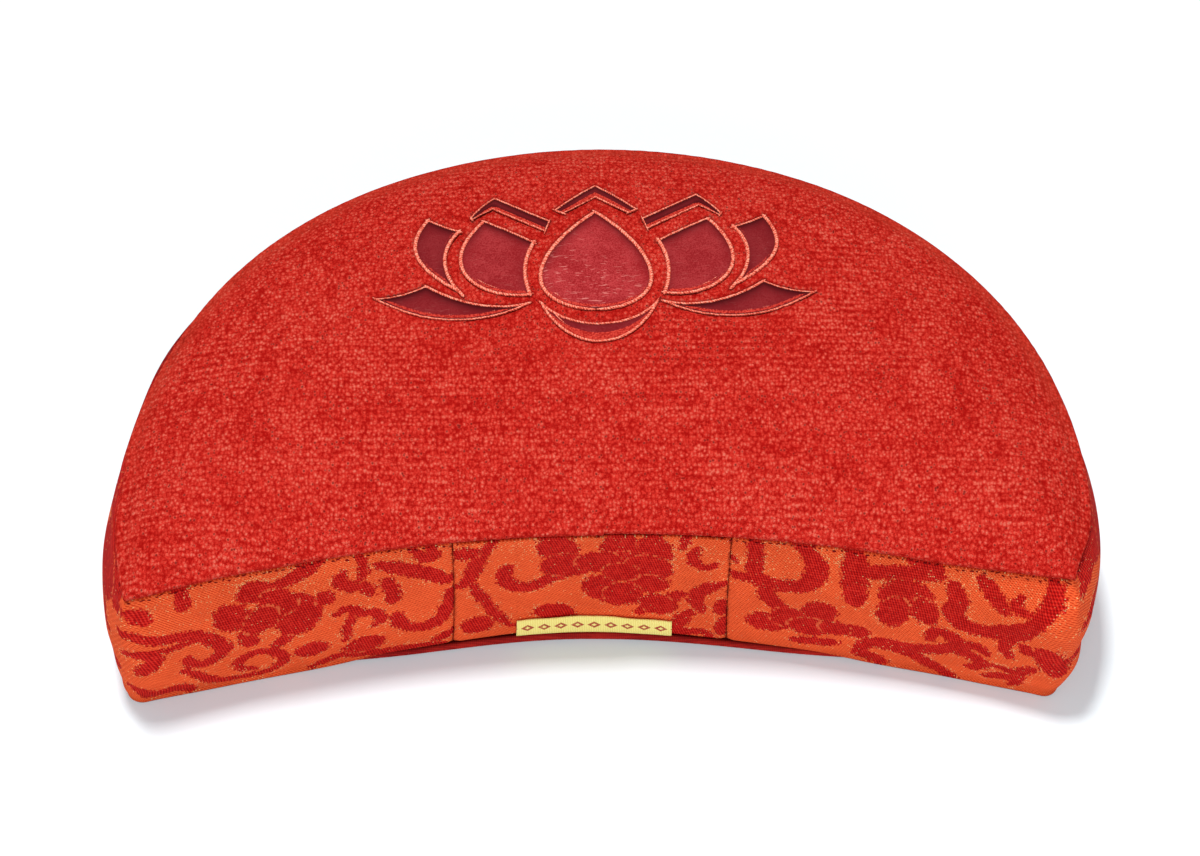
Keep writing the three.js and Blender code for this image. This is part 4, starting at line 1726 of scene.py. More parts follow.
LAID = {
    "lotus_centre": Laid(-0.4, -0.5, -1.2, 0.985, 1.02),
    "lotus_base": Laid(0.2, 0.0, -0.8),
    "lotus_back": Laid(0.6, 0.2, -0.6),
    "lotus_inner_left": Laid(-0.7, -0.3, 0.0, 1.0, 1.02),
    "lotus_inner_right": Laid(0.9, -1.0, -1.5, 1.01, 1.03),
    "lotus_outer_left": Laid(-0.2, -0.5, 0.0, 1.0, 1.03),
    "lotus_outer_right": Laid(0.4, -0.6, -3.0, 0.98),
    "lotus_leaf_left": Laid(-1.6),
    "lotus_leaf_right": Laid(-0.7, -0.6, -0.5, 0.985),
    "lotus_back_tip_left": Laid(0.3, -0.2, 0.0, 0.99),
    "lotus_back_tip_right": Laid(0.8, 0.2, -1.0),
}


@dataclass(frozen=True)
class PlacedPatch:
    """A patch as it lies on one side of the flower.

    Attributes:
        name: its name with its side.
        patch: the patch as drawn.
        side: 1 as drawn, -1 mirrored.
    """

    name: str
    patch: Patch
    side: int

    def moved(self, points: Array) -> Array:
        """Puts drawn points where they lie: mirrored, then stretched, turned and moved.

        Args:
            points: drawn points.

        Returns:
            The points in the flower's frame.
        """
        laid = LAID[self.name]
        drawn = np.concatenate([self.patch.edge(edge) for edge in Edge]) * [self.side, 1]
        middle = (drawn.min(0) + drawn.max(0)) / 2
        way = (points * [self.side, 1] - middle) * [laid.wide, laid.tall]
        return middle + rotated(way, math.radians(laid.turn)) + [laid.x, laid.y]


@dataclass
class Lotus:
    """The appliqué flower: velvet patches edged with satin stitch, on the crown of the top.

    Attributes:
        x: X of the flower's origin in the plan.
        y: Y of the origin.
        turn: angle by which the flower is turned.
        thickness: thickness of the velvet with its filling.
        puff: how much it is puffed.
        along: steps along a patch.
        across: steps across it.
        inner_gap: distance of the thin inner lines from the edge.
        thin: their half width.
        end_lines: for each end of a chevron the point of its edges, and the overhang of its line.
        end_thin: half width of those.
        cord_step: step along the satin lines.
        cord_high: their greatest height.
        cord_share: share of a stroke's half width that its line takes.
        cord_sides: sides of their section.
        rib: length after which the ribs of the stitches repeat.
        lines: for each line its plan points, half widths and outward normals.
    """

    x: float = -1.3
    y: float = 97.4
    turn: float = math.radians(1)
    thickness: float = 0.9
    puff: float = 0.5
    along: int = 72
    across: int = 26
    inner_gap: float = 2.5
    thin: float = 0.34
    end_lines: tuple[tuple[int, float], ...] = ((0, 1.8), (-1, 1.2))
    end_thin: float = 0.42
    cord_step: float = 0.28
    cord_high: float = 0.9
    cord_share: float = 0.76
    cord_sides: int = 10
    rib: float = 0.9
    lines: list[tuple[Array, Array, Array]] = field(default_factory=list)

    def __post_init__(self) -> None:
        """Lays out every line of satin stitch."""
        for placed in self.placed():
            self.lines.extend(self._lines_of(placed))

    def placed(self) -> list[PlacedPatch]:
        """Every patch, paired ones on both sides."""
        found = []
        for patch in PATCHES:
            if patch.pair:
                found.append(PlacedPatch(patch.name + "_right", patch, 1))
                found.append(PlacedPatch(patch.name + "_left", patch, -1))
            else:
                found.append(PlacedPatch(patch.name, patch, 1))
        return found

    def to_plan(self, points: Array, placed: PlacedPatch) -> Array:
        """Drawn points of a patch in the plan frame: as it lies, turned and moved."""
        return rotated(placed.moved(points), self.turn) + [self.x, self.y]

    def sides(self, placed: PlacedPatch) -> list[Array]:
        """The left and the right edge of a patch in the plan frame."""
        return [self.to_plan(placed.patch.edge(edge), placed) for edge in Edge]

    def _lines_of(self, placed: PlacedPatch) -> list[tuple[Array, Array, Array]]:
        """The satin lines of one patch.

        Args:
            placed: the patch.

        Returns:
            For each line its plan points, its half widths, and the outward normals in plan.
        """
        found = []
        middle = sum(side.mean(0) for side in self.sides(placed)) / 2
        for stroke in placed.patch.strokes:
            line = placed.patch.edge(stroke.edge, stroke.first, stroke.last)
            plan = self._extended(self.to_plan(line, placed), stroke.before, stroke.after)
            normal = self._normals(plan, middle)
            wide = self.cord_share * stroke.half_wide * (0.62 + 0.38 * np.abs(normal[:, 0]))
            found.append((plan, self._tapered(wide), normal))
            low, high = (int(share * len(plan)) for share in stroke.inner)
            if high > low:
                inner = (plan - self.inner_gap * normal)[low:high]
                found.append((inner, self._tapered(np.full(len(inner), self.thin)), 0 * inner))
        if placed.patch.closed:
            found.extend(self._end_lines(placed))
        return found

    def _end_lines(self, placed: PlacedPatch) -> list[tuple[Array, Array, Array]]:
        """Short lines that cross the two ends of a chevron.

        Args:
            placed: the chevron.

        Returns:
            The lines, as in _lines_of; their normals are 0.
        """
        found = []
        left, right = self.sides(placed)
        for end, reach in self.end_lines:
            a, b = left[end], right[end]
            over = (a - b) / np.linalg.norm(a - b) * reach
            line = evenly(np.stack([b - over, a + over]), 16)
            found.append((line, self._tapered(np.full(len(line), self.end_thin)), 0 * line))
        return found

    @staticmethod
    def _extended(line: Array, before: float, after: float) -> Array:
        """The line run on straight at both ends."""
        start = line[0] - (line[1] - line[0]) / np.linalg.norm(line[1] - line[0]) * before
        end = line[-1] + (line[-1] - line[-2]) / np.linalg.norm(line[-1] - line[-2]) * after
        return evenly(np.concatenate([[start], line, [end]]), 160)

    @staticmethod
    def _normals(line: Array, middle: Array) -> Array:
        """Normals of a plan line that point away from a middle.

        Args:
            line: points, n x 2.
            middle: the point from which they turn away.

        Returns:
            Normals of length 1, n x 2.
        """
        along = np.gradient(line, axis=0)
        normal = np.stack([-along[:, 1], along[:, 0]], -1)
        normal /= np.linalg.norm(normal, axis=1, keepdims=True)
        sense = np.sign(((line - middle) * normal).sum(1).mean())
        return normal * (sense or 1.0)

    @staticmethod
    def _tapered(wide: Array) -> Array:
        """Half widths that narrow over the line's last points."""
        place = np.arange(len(wide))
        ends = np.minimum(place, place[::-1]) / 4
        return wide * unit(0.35 + 0.65 * ends)

    def groove(self, x: Array, y: Array) -> Array:
        """How deep the pile is parted beside the satin lines, most of all behind them; the same
        value paints shade on the chenille there.

        It is a bell curve of the gap to the nearest line, and the deepest of all lines counts.

        Args:
            x: X of places in the plan.
            y: Y of the places.

        Returns:
            0 to about 1 for each place.
        """
        groove = np.zeros(x.shape)
        near = (np.abs(x - self.x) < 110) & (np.abs(y - self.y - 24) < 62)
        place = np.stack([x[near], y[near]], -1)
        best = np.zeros(len(place))
        for line, wide, normal in self.lines:
            middle, half = (line.max(0) + line.min(0)) / 2, np.ptp(line, axis=0) / 2
            reach = (np.abs(place - middle) < half + 5).all(1)
            way = place[reach][:, None] - line[None]
            far = np.linalg.norm(way, axis=2)
            nearest = far.argmin(1)
            rows = np.arange(len(far))
            gap = far[rows, nearest] - wide[nearest]
            behind = way[rows, nearest, 1] / np.maximum(far[rows, nearest], 1e-6)
            outside = (way[rows, nearest] * normal[nearest]).sum(1) > 0
            strength = np.where(outside, 0.2 + 0.6 * unit(behind), 0.3)
            value = strength * bell(gap - 0.6, 1.15)
            best[reach] = np.maximum(best[reach], value)
        groove[near] = best
        return groove

    def covered(self, x: Array, y: Array) -> Array:
        """Where the patches cover the pile, which lies flat under the velvet.

        A place is inside when a line from it to the right crosses the outline an odd number of
        times.

        Args:
            x: X of places in the plan.
            y: Y of the places.

        Returns:
            1 under the patches and 0 beside them.
        """
        cover = np.zeros(x.shape)
        place = np.stack([x, y], -1)
        for placed in self.placed():
            left, right = self.sides(placed)
            outline = np.concatenate([left, right[::-1]])
            low, high = outline.min(0), outline.max(0)
            near = ((place > low) & (place < high)).all(-1)
            px, py = x[near], y[near]
            inside = np.zeros(px.shape, bool)
            for a, b in zip(outline, np.roll(outline, -1, axis=0)):
                if a[1] == b[1]:
                    continue
                crosses = (a[1] > py) != (b[1] > py)
                inside ^= crosses & (px < (b[0] - a[0]) * (py - a[1]) / (b[1] - a[1]) + a[0])
            cover[near] = np.maximum(cover[near], inside)
        return cover

    def patch_skin(self, placed: PlacedPatch) -> Skin:
        """One velvet patch: straight across between its edges, puffed in a parabola.

        Args:
            placed: the patch.

        Returns:
            The closed skin, with what its velvet reads.
        """
        drawn = (evenly(placed.patch.edge(edge), self.along + 1)[1:-1] for edge in Edge)
        left, right = (self.to_plan(edge, placed) for edge in drawn)
        over = np.linspace(0, 1, self.across + 1)
        under = np.linspace(1, 0, 7)
        share = np.concatenate([over, under])
        points = left[:, None] + (right - left)[:, None] * share[None, :, None]
        x, y = points[..., 0], points[..., 1]
        wide = np.linalg.norm(right - left, axis=1)[:, None]
        from_edge = np.minimum(share, 1 - share)[None] * wide
        rise = 1 - np.exp(-from_edge / 1.0)
        puff = 4 * self.puff * share * (1 - share) * np.minimum(wide / 12, 1)
        lift = SHAPE.gap + 0.1 + self.thickness * 0.75 * rise + puff
        lift = lift + 0.08 * ripple(x, y, 7, 21)
        on_top = (np.arange(len(share)) <= self.across)[None]
        z = SHAPE.top_height(x, y) + np.where(on_top, lift, SHAPE.gap * 0.5)
        shade, rim = self._shading(placed, x, y, share)
        points = SHAPE.settled(spots(x, y, z))
        deep = np.full(x.shape, placed.patch.deep)
        middle = (points[..., :2].min((0, 1)) + points[..., :2].max((0, 1))) / 2
        low_left = unit(0.6 - (x - middle[0]) / 40 - (y - middle[1]) / 30)
        fibres = placed.patch.fibres * low_left
        skin = Skin.of_grid(points, wrap=True, shade=shade, rim=rim, deep=deep, fibres=fibres)
        return skin.capped(len(share))

    def _shading(
        self, placed: PlacedPatch, x: Array, y: Array, share: Array
    ) -> tuple[Array, Array]:
        """Painted shade under the upper edges and in a thin line inside the lower ones, and red
        beside the lower ones.

        Args:
            placed: the patch.
            x: places of its points.
            y: places of its points.
            share: shares across from the left edge to the right one.

        Returns:
            The attributes "shade" and "rim".
        """
        sides = self.sides(placed)
        middle = (sides[0].mean(0) + sides[1].mean(0)) / 2
        outline = np.concatenate(sides)
        normal = np.concatenate([self._normals(side, middle) for side in sides])
        place = np.stack([x, y], -1)[..., None, :]
        far = np.linalg.norm(place - outline, axis=-1)
        nearest = far.argmin(-1)
        up = unit(normal[:, 1])
        low = unit(-normal[:, 1])
        shade = (np.exp(-np.maximum(far - 0.7, 0) / 3.6) * (0.34 + 0.72 * up)).max(-1)
        distance = np.take_along_axis(far, nearest[..., None], -1)[..., 0]
        rim = 0.85 * low[nearest] * unit(2.7 - distance) * unit(distance - 0.4)
        shade = np.maximum(shade, 0.9 * low[nearest] * np.exp(-((distance / 0.8) ** 4)))
        if placed.patch.red < 1:
            rim = np.broadcast_to(unit((share - placed.patch.red) * 9 + 0.5), x.shape)
        return shade, rim

    def cord_skin(self) -> Skin:
        """All the satin lines: ellipses along the edges, ribbed by slanting stitches."""
        skins = []
        for line, wide, _ in self.lines:
            length = lengths(line)
            count = max(8, int(length[-1] / self.cord_step))
            plan = evenly(line, count)
            half = np.interp(np.linspace(0, length[-1], count), length, wide)
            high = np.minimum(self.cord_high, 0.35 + 0.62 * half)
            lift = SHAPE.gap + 0.2 + 0.35 * high
            wobble = 0.1 * ripple(plan[:, 0], plan[:, 1], 5, 31)
            top = SHAPE.top_height(plan[:, 0], plan[:, 1])
            path = SHAPE.settled(spots(plan[:, 0], plan[:, 1] + wobble, top + lift))
            angle = np.arange(self.cord_sides) / self.cord_sides * TAU
            way = np.linspace(0, length[-1], count)
            slant = np.sin((way[:, None] + 0.35 * angle[None]) * TAU / self.rib)
            ribbed = 1 + 0.07 * slant
            up = np.tile([0.0, 0.0, 1.0], (count, 1))
            size = half[:, None] * ribbed, high[:, None] * ribbed
            skins.append(swept(path, up, *size, self.cord_sides))
        return Skin.joined(skins)

    def build(self, velvet: bpy.types.Material, satin: bpy.types.Material) -> None:
        """Makes the patches and their edging.

        Args:
            velvet: finish of the patches.
            satin: finish of the satin stitch.
        """
        for placed in self.placed():
            skin = self.patch_skin(placed)
            piece = skin.dress(placed.name + "_velvet", velvet, placed.name, "velvet")
            width, length, area = placed.patch.cut()
        self.cord_skin().build("satin_stitch", satin)


# ---------------------------------------------------------------- the brocade's pattern


@dataclass(frozen=True)
class Scroll:
    """A winding stroke of the pattern.

    Attributes:
        radius: half its width in its middle.
        points: places that it passes, way and height in millimetres.
    """

    radius: float
    points: tuple[tuple[float, float], ...]

    def path(self) -> Array:
        """Points close together on a Catmull-Rom curve through the places.

        Between two places it is the cubic polynomial whose slope at each place is half the way
        from the place before it to the place after it.
        """
        places = np.array(self.points, float)
        before, after = places[:1] * 2 - places[1:2], places[-1:] * 2 - places[-2:-1]
        padded = np.concatenate([before, places, after])
        t = np.linspace(0, 1, 13)[:, None]
        found = []
        for a, b, c, d in zip(padded, padded[1:], padded[2:], padded[3:]):
            cubic = -a + 3 * b - 3 * c + d
            square = 2 * a - 5 * b + 4 * c - d
            found.append(0.5 * (2 * b + (c - a) * t + square * t**2 + cubic * t**3))
        return evenly(np.concatenate(found), max(8, int(len(places) * 9)))

    def depth(self, way: Array, height: Array) -> Array:
        """Depth into the stroke: its half width there less the distance to its middle line.

        Args:
            way: way along the wall.
            height: height up the wall.

        Returns:
            The depth, negative outside.
        """
        path = self.path()
        share = np.linspace(-1, 1, len(path))
        radius = self.radius * (1 - 0.35 * np.abs(share) ** 3)
        best = np.full(way.shape, -30.0)
        low, high = path.min(0) - 12, path.max(0) + 12
        near = (way > low[0]) & (way < high[0]) & (height > low[1]) & (height < high[1])
        gap = np.hypot(way[near][:, None] - path[:, 0], height[near][:, None] - path[:, 1])
        best[near] = (radius - gap).max(1) if near.any() else 0
        return best


@dataclass(frozen=True)
class Petal:
    """An oval of the pattern.

    Attributes:
        way: its middle along the wall.
        height: its middle up the wall.
        wide: half its width.
        high: half its height.
        lean: degrees by which it is turned.
    """

    way: float
    height: float
    wide: float
    high: float
    lean: float = 0.0

    def depth(self, way: Array, height: Array) -> Array:
        """Depth into the oval, about the distance to its edge."""
        c, s = math.cos(math.radians(self.lean)), math.sin(math.radians(self.lean))
        x, y = way - self.way, height - self.height
        far = np.hypot((x * c + y * s) / self.wide, (y * c - x * s) / self.high)
        return (1 - far) * min(self.wide, self.high)


@dataclass(frozen=True)
class Pattern:
    """Scrolls, and peonies of overlapping petals, whose edges show as pale lines.

    Attributes:
        scrolls: the winding strokes.
        petals: the ovals; a later one lies over those before it.
    """

    scrolls: tuple[Scroll, ...]
    petals: tuple[Petal, ...]

    @classmethod
    def of(cls, scrolls: tuple[tuple, ...], petals: tuple[tuple[float, ...], ...]) -> Pattern:
        """Reads a pattern.

        Args:
            scrolls: for each scroll its radius and then its places, way and height.
            petals: for each petal its way, height, half width, half height and lean.

        Returns:
            The pattern.
        """
        strokes = tuple(Scroll(row[0], row[1:]) for row in scrolls)
        return cls(strokes, tuple(Petal(*row) for row in petals))

    def fields(self, way: Array, height: Array, repeat: float) -> tuple[Array, Array]:
        """The pattern at places on the wall.

        Args:
            way: way along the wall.
            height: height up the wall.
            repeat: length after which the pattern repeats.

        Returns:
            Depth into the motifs, and distance to the pale lines.
        """
        depth, vein = np.full(way.shape, -30.0), np.full(way.shape, 30.0)
        for scroll in self.scrolls:
            middle = float(np.mean([place[0] for place in scroll.points]))
            near = middle + np.mod(way - middle + repeat / 2, repeat) - repeat / 2
            depth = np.maximum(depth, scroll.depth(near, height))
        for petal in self.petals:
            near = petal.way + np.mod(way - petal.way + repeat / 2, repeat) - repeat / 2
            own = petal.depth(near, height)
            vein = np.where(own > 0, own, np.minimum(vein, -own))
            depth = np.maximum(depth, own)
        return depth, np.where(depth < 1.2, 30.0, vein)


LEFT_PATTERN = Pattern.of(
    (
        (4.2, (-190, 99), (-190, 91), (-189, 84)),
        (4.5, (-212, 70), (-200, 63), (-186, 60), (-177, 52), (-173, 42), (-178, 32),
         (-186, 33), (-189, 40)),
        (3.5, (-190, 28), (-183, 20), (-175, 8), (-162, 4), (-150, 6), (-145, 15), (-148, 26),
         (-157, 30), (-165, 24), (-163, 15), (-157, 12)),
        (4.2, (-212, 50), (-205, 52), (-203, 45), (-208, 34)),
        (2.6, (-205, 52), (-196, 53), (-186, 55)),
        (4.6, (-212, 15), (-200, 5), (-190, 8), (-183, 0)),
        (4.6, (-160, 57), (-161, 48), (-160, 40)), (5.0, (-146, 85), (-137, 91), (-128, 98)),
        (3.6, (-138, 45), (-145, 38), (-150, 30)),
        (4.0, (-117, 87), (-119, 80), (-114, 73), (-108, 72), (-105, 65)),
        (2.9, (-109, 98), (-108, 85), (-110, 78)),
        (5.4, (-100, 88), (-90, 82), (-80, 75), (-70, 66)),
        (4.0, (-98, 75), (-96, 65), (-95, 55)),
        (3.6, (-85, 98), (-80, 88), (-76, 90), (-78, 98)),
        (3.5, (-122, 52), (-115, 55), (-110, 50), (-104, 48), (-101, 40), (-104, 35)),
        (2.7, (-114, 50), (-116, 38), (-117, 25)),
        (4.3, (-94, 42), (-93, 33), (-87, 26), (-79, 25), (-73, 33), (-70, 45), (-69, 56)),
        (4.0, (-130, 0), (-120, 8), (-108, 6), (-97, 3), (-85, 4), (-72, 2)),
        (4.0, (-75, 8), (-67, 15)), (4.0, (-212, 90), (-208, 86), (-207, 80)),
    ),
    (
        (-168, 67, 9, 12, 20), (-157, 84, 9, 9), (-138, 58, 11, 18, -8), (-147, 72, 9, 12, 15),
        (-155, 60, 8, 12, -20), (-126, 68, 5, 7), (-132, 22, 8, 8), (-108, 16, 10, 8, 20),
    ),
)

INSERT_PATTERN = Pattern.of(
    (
        (4.0, (-50, 98), (-55, 86), (-58, 75), (-62, 62), (-68, 58)),
        (3.2, (-60, 60), (-55, 45), (-50, 30), (-45, 18), (-42, 12)),
        (4.6, (-43, 72), (-45, 62), (-38, 50), (-30, 52), (-20, 60), (-10, 66)),
        (4.6, (17, 22), (26, 34), (35, 45)), (3.2, (42, 88), (40, 78), (46, 72), (50, 76)),
        (2.6, (37, 98), (36, 93), (35, 88)), (4.0, (57, 60), (48, 54), (42, 42), (45, 30)),
        (3.5, (55, 42), (54, 33), (58, 30)),
        (4.0, (40, 28), (36, 18), (33, 5), (45, 8), (50, 2)),
        (3.6, (55, 8), (54, 16), (56, 25)),
    ),
    (
        (-62, 89, 7, 6), (-57, 18, 8, 9, 20), (-22, 22, 10, 8, -15), (-21, 88, 10, 13, 10),
        (-16, 70, 13, 12, -20), (7, 88, 9, 13, -8), (23, 86, 8, 15, 10), (12, 74, 10, 9),
        (-2, 72, 11, 11), (20, 68, 12, 12, 25), (0, 45, 9, 14, 15), (20, 52, 11, 9, 20),
        (9, 40, 9, 12, -10), (25, 32, 9, 11, 15), (8, 62, 9, 9),
    ),
)

RIGHT_PATTERN = Pattern.of(
    (
        (4.4, (67, 98), (68, 85), (68, 74), (72, 66)),
        (5.6, (68, 65), (78, 64), (89, 65), (95, 74), (95, 86), (88, 98)),
        (3.8, (59, 68), (68, 66)), (4.6, (73, 62), (75, 52), (80, 44), (84, 38)),
        (4.4, (88, 12), (96, 13), (106, 15)), (6.4, (112, 98), (113, 78), (114, 58)),
        (5.6, (114, 82), (126, 86), (138, 88), (150, 90)), (5.2, (138, 98), (150, 93)),
        (5.4, (157, 85), (160, 75), (158, 63), (165, 55), (175, 54), (186, 60), (195, 66)),
        (4.8, (170, 93), (177, 82), (183, 73)),
        (4.8, (165, 52), (180, 53), (192, 61), (200, 72), (205, 85), (206, 98)),
        (3.6, (190, 85), (188, 78), (195, 75)),
        (4.2, (150, 37), (153, 45), (160, 43), (164, 37), (172, 38), (176, 33)),
        (5.2, (117, 10), (121, 19), (130, 24), (142, 23), (152, 27), (161, 31), (169, 28),
         (174, 21), (169, 15)),
        (5.0, (127, 20), (140, 17), (149, 9), (156, 2), (160, -3)), (5.4, (117, 8), (128, 1)),
        (3.8, (196, 60), (187, 52), (185, 42), (188, 35)), (3.8, (194, 49), (197, 43)),
        (6.0, (203, 48), (207, 36), (209, 25)),
        (3.4, (180, 22), (190, 20), (195, 25), (199, 29)),
        (3.8, (176, 8), (183, 12), (191, 12)), (3.2, (192, 25), (190, 10), (188, 2)),
    ),
    (
        (58.5, 81, 2.4, 3.2), (75, 27, 10, 9), (85, 34, 9, 10), (116, 30, 7, 7, 20),
        (99, 44, 8.5, 10), (95, 28, 11, 9, 10), (106, 30, 8, 7), (137, 68, 13, 15),
        (132, 55, 8, 13, -8), (146, 60, 7, 11, 12),
    ),
)

ENDS_PATTERN = Pattern.of(
    (
        (8.0, (-219, 86), (-232, 91), (-246, 85), (-262, 91), (-285, 89), (-305, 93)),
        (4.5, (-221, 62), (-234, 68), (-248, 60), (-258, 68), (-274, 66)),
        (5.0, (-219, 30), (-232, 42), (-244, 38), (-250, 26), (-264, 20)),
        (8.0, (219, 88), (232, 91), (246, 86), (262, 91), (285, 89)),
        (4.5, (217, 62), (228, 67), (240, 59), (254, 65), (270, 62)),
        (5.0, (217, 36), (228, 40), (242, 34), (252, 22), (264, 20)),
    ),
    (
        (-240, 14, 9, 8, 10), (-278, 42, 10, 12), (-243, 80, 22, 15, 8), (-292, 84, 24, 14),
        (-262, 58, 16, 13, -20), (238, 12, 9, 8), (276, 42, 10, 12), (236, 52, 13, 16, 12),
        (262, 78, 20, 15), (300, 84, 20, 13),
    ),
)


@dataclass(frozen=True)
class BrocadePrint:
    """The pattern as it lies on the band and on the insert.

    Attributes:
        repeat: length after which the cloth's pattern repeats.
        front: way from the front's middle up to which the front's own arrangement is seen.
    """

    repeat: float = 424.0
    front: float = 300.0

    def on_insert(self, way: Array, height: Array) -> tuple[Array, Array]:
        """Depth and pale lines on the insert."""
        return INSERT_PATTERN.fields(way, height, self.repeat)

    def on_band(self, way: Array, height: Array) -> tuple[Array, Array]:
        """Depth and pale lines on the band: the front's arrangement, repeated round the back.

        Args:
            way: way along the wall.
            height: height up the wall.

        Returns:
            Depth into the motifs, and distance to the pale lines.
        """
        way = np.where(way > SHAPE.length / 2, way - SHAPE.length, way)
        depth, vein = np.full(way.shape, -30.0), np.full(way.shape, 30.0)
        past = np.abs(way) - self.front
        for patterns, repeat, beyond in (
            ((LEFT_PATTERN, RIGHT_PATTERN, ENDS_PATTERN), SHAPE.length, past),
            ((LEFT_PATTERN, RIGHT_PATTERN, INSERT_PATTERN), self.repeat, -past),
        ):
            fade = np.clip((beyond + 10) / 2, 0, 30)
            for pattern in patterns:
                more, lines = pattern.fields(way, height, repeat)
                depth, vein = np.maximum(depth, more - fade), np.minimum(vein, lines + fade)
        return depth, vein


# ---------------------------------------------------------------- wall cloths


def front_way(x: float) -> float:
    """Way along the hollow front at a place along X."""
    radius = SHAPE.front_radius
    return radius * math.asin(x / radius)


def strip(
    ways: Array, shares: Array, outwards: Array, thickness: float, **attributes: Array
) -> Skin:
    """A closed strip of cloth upright on the wall.

    Args:
        ways: ways along the outline, one for each column.
        shares: shares of the wall's height at the outside, columns x rows.
        outwards: how far the outside stands out, columns x rows.
        thickness: thickness of the cloth.
        **attributes: values of the outside, columns x rows.

    Returns:
        The closed skin.
    """
    rows = np.linspace(shares.shape[1] - 1, 0, 11).round().astype(int)
    outer = SHAPE.wall(ways[:, None], shares, outwards)
    back = SHAPE.wall(ways[:, None], shares[:, rows], outwards[:, rows] - thickness)
    carried = {
        name: np.concatenate([values, values[:, rows]], 1) for name, values in attributes.items()
    }
    points = np.concatenate([outer, back], 1)
    return Skin.of_grid(points, wrap=True, **carried).capped(points.shape[1])


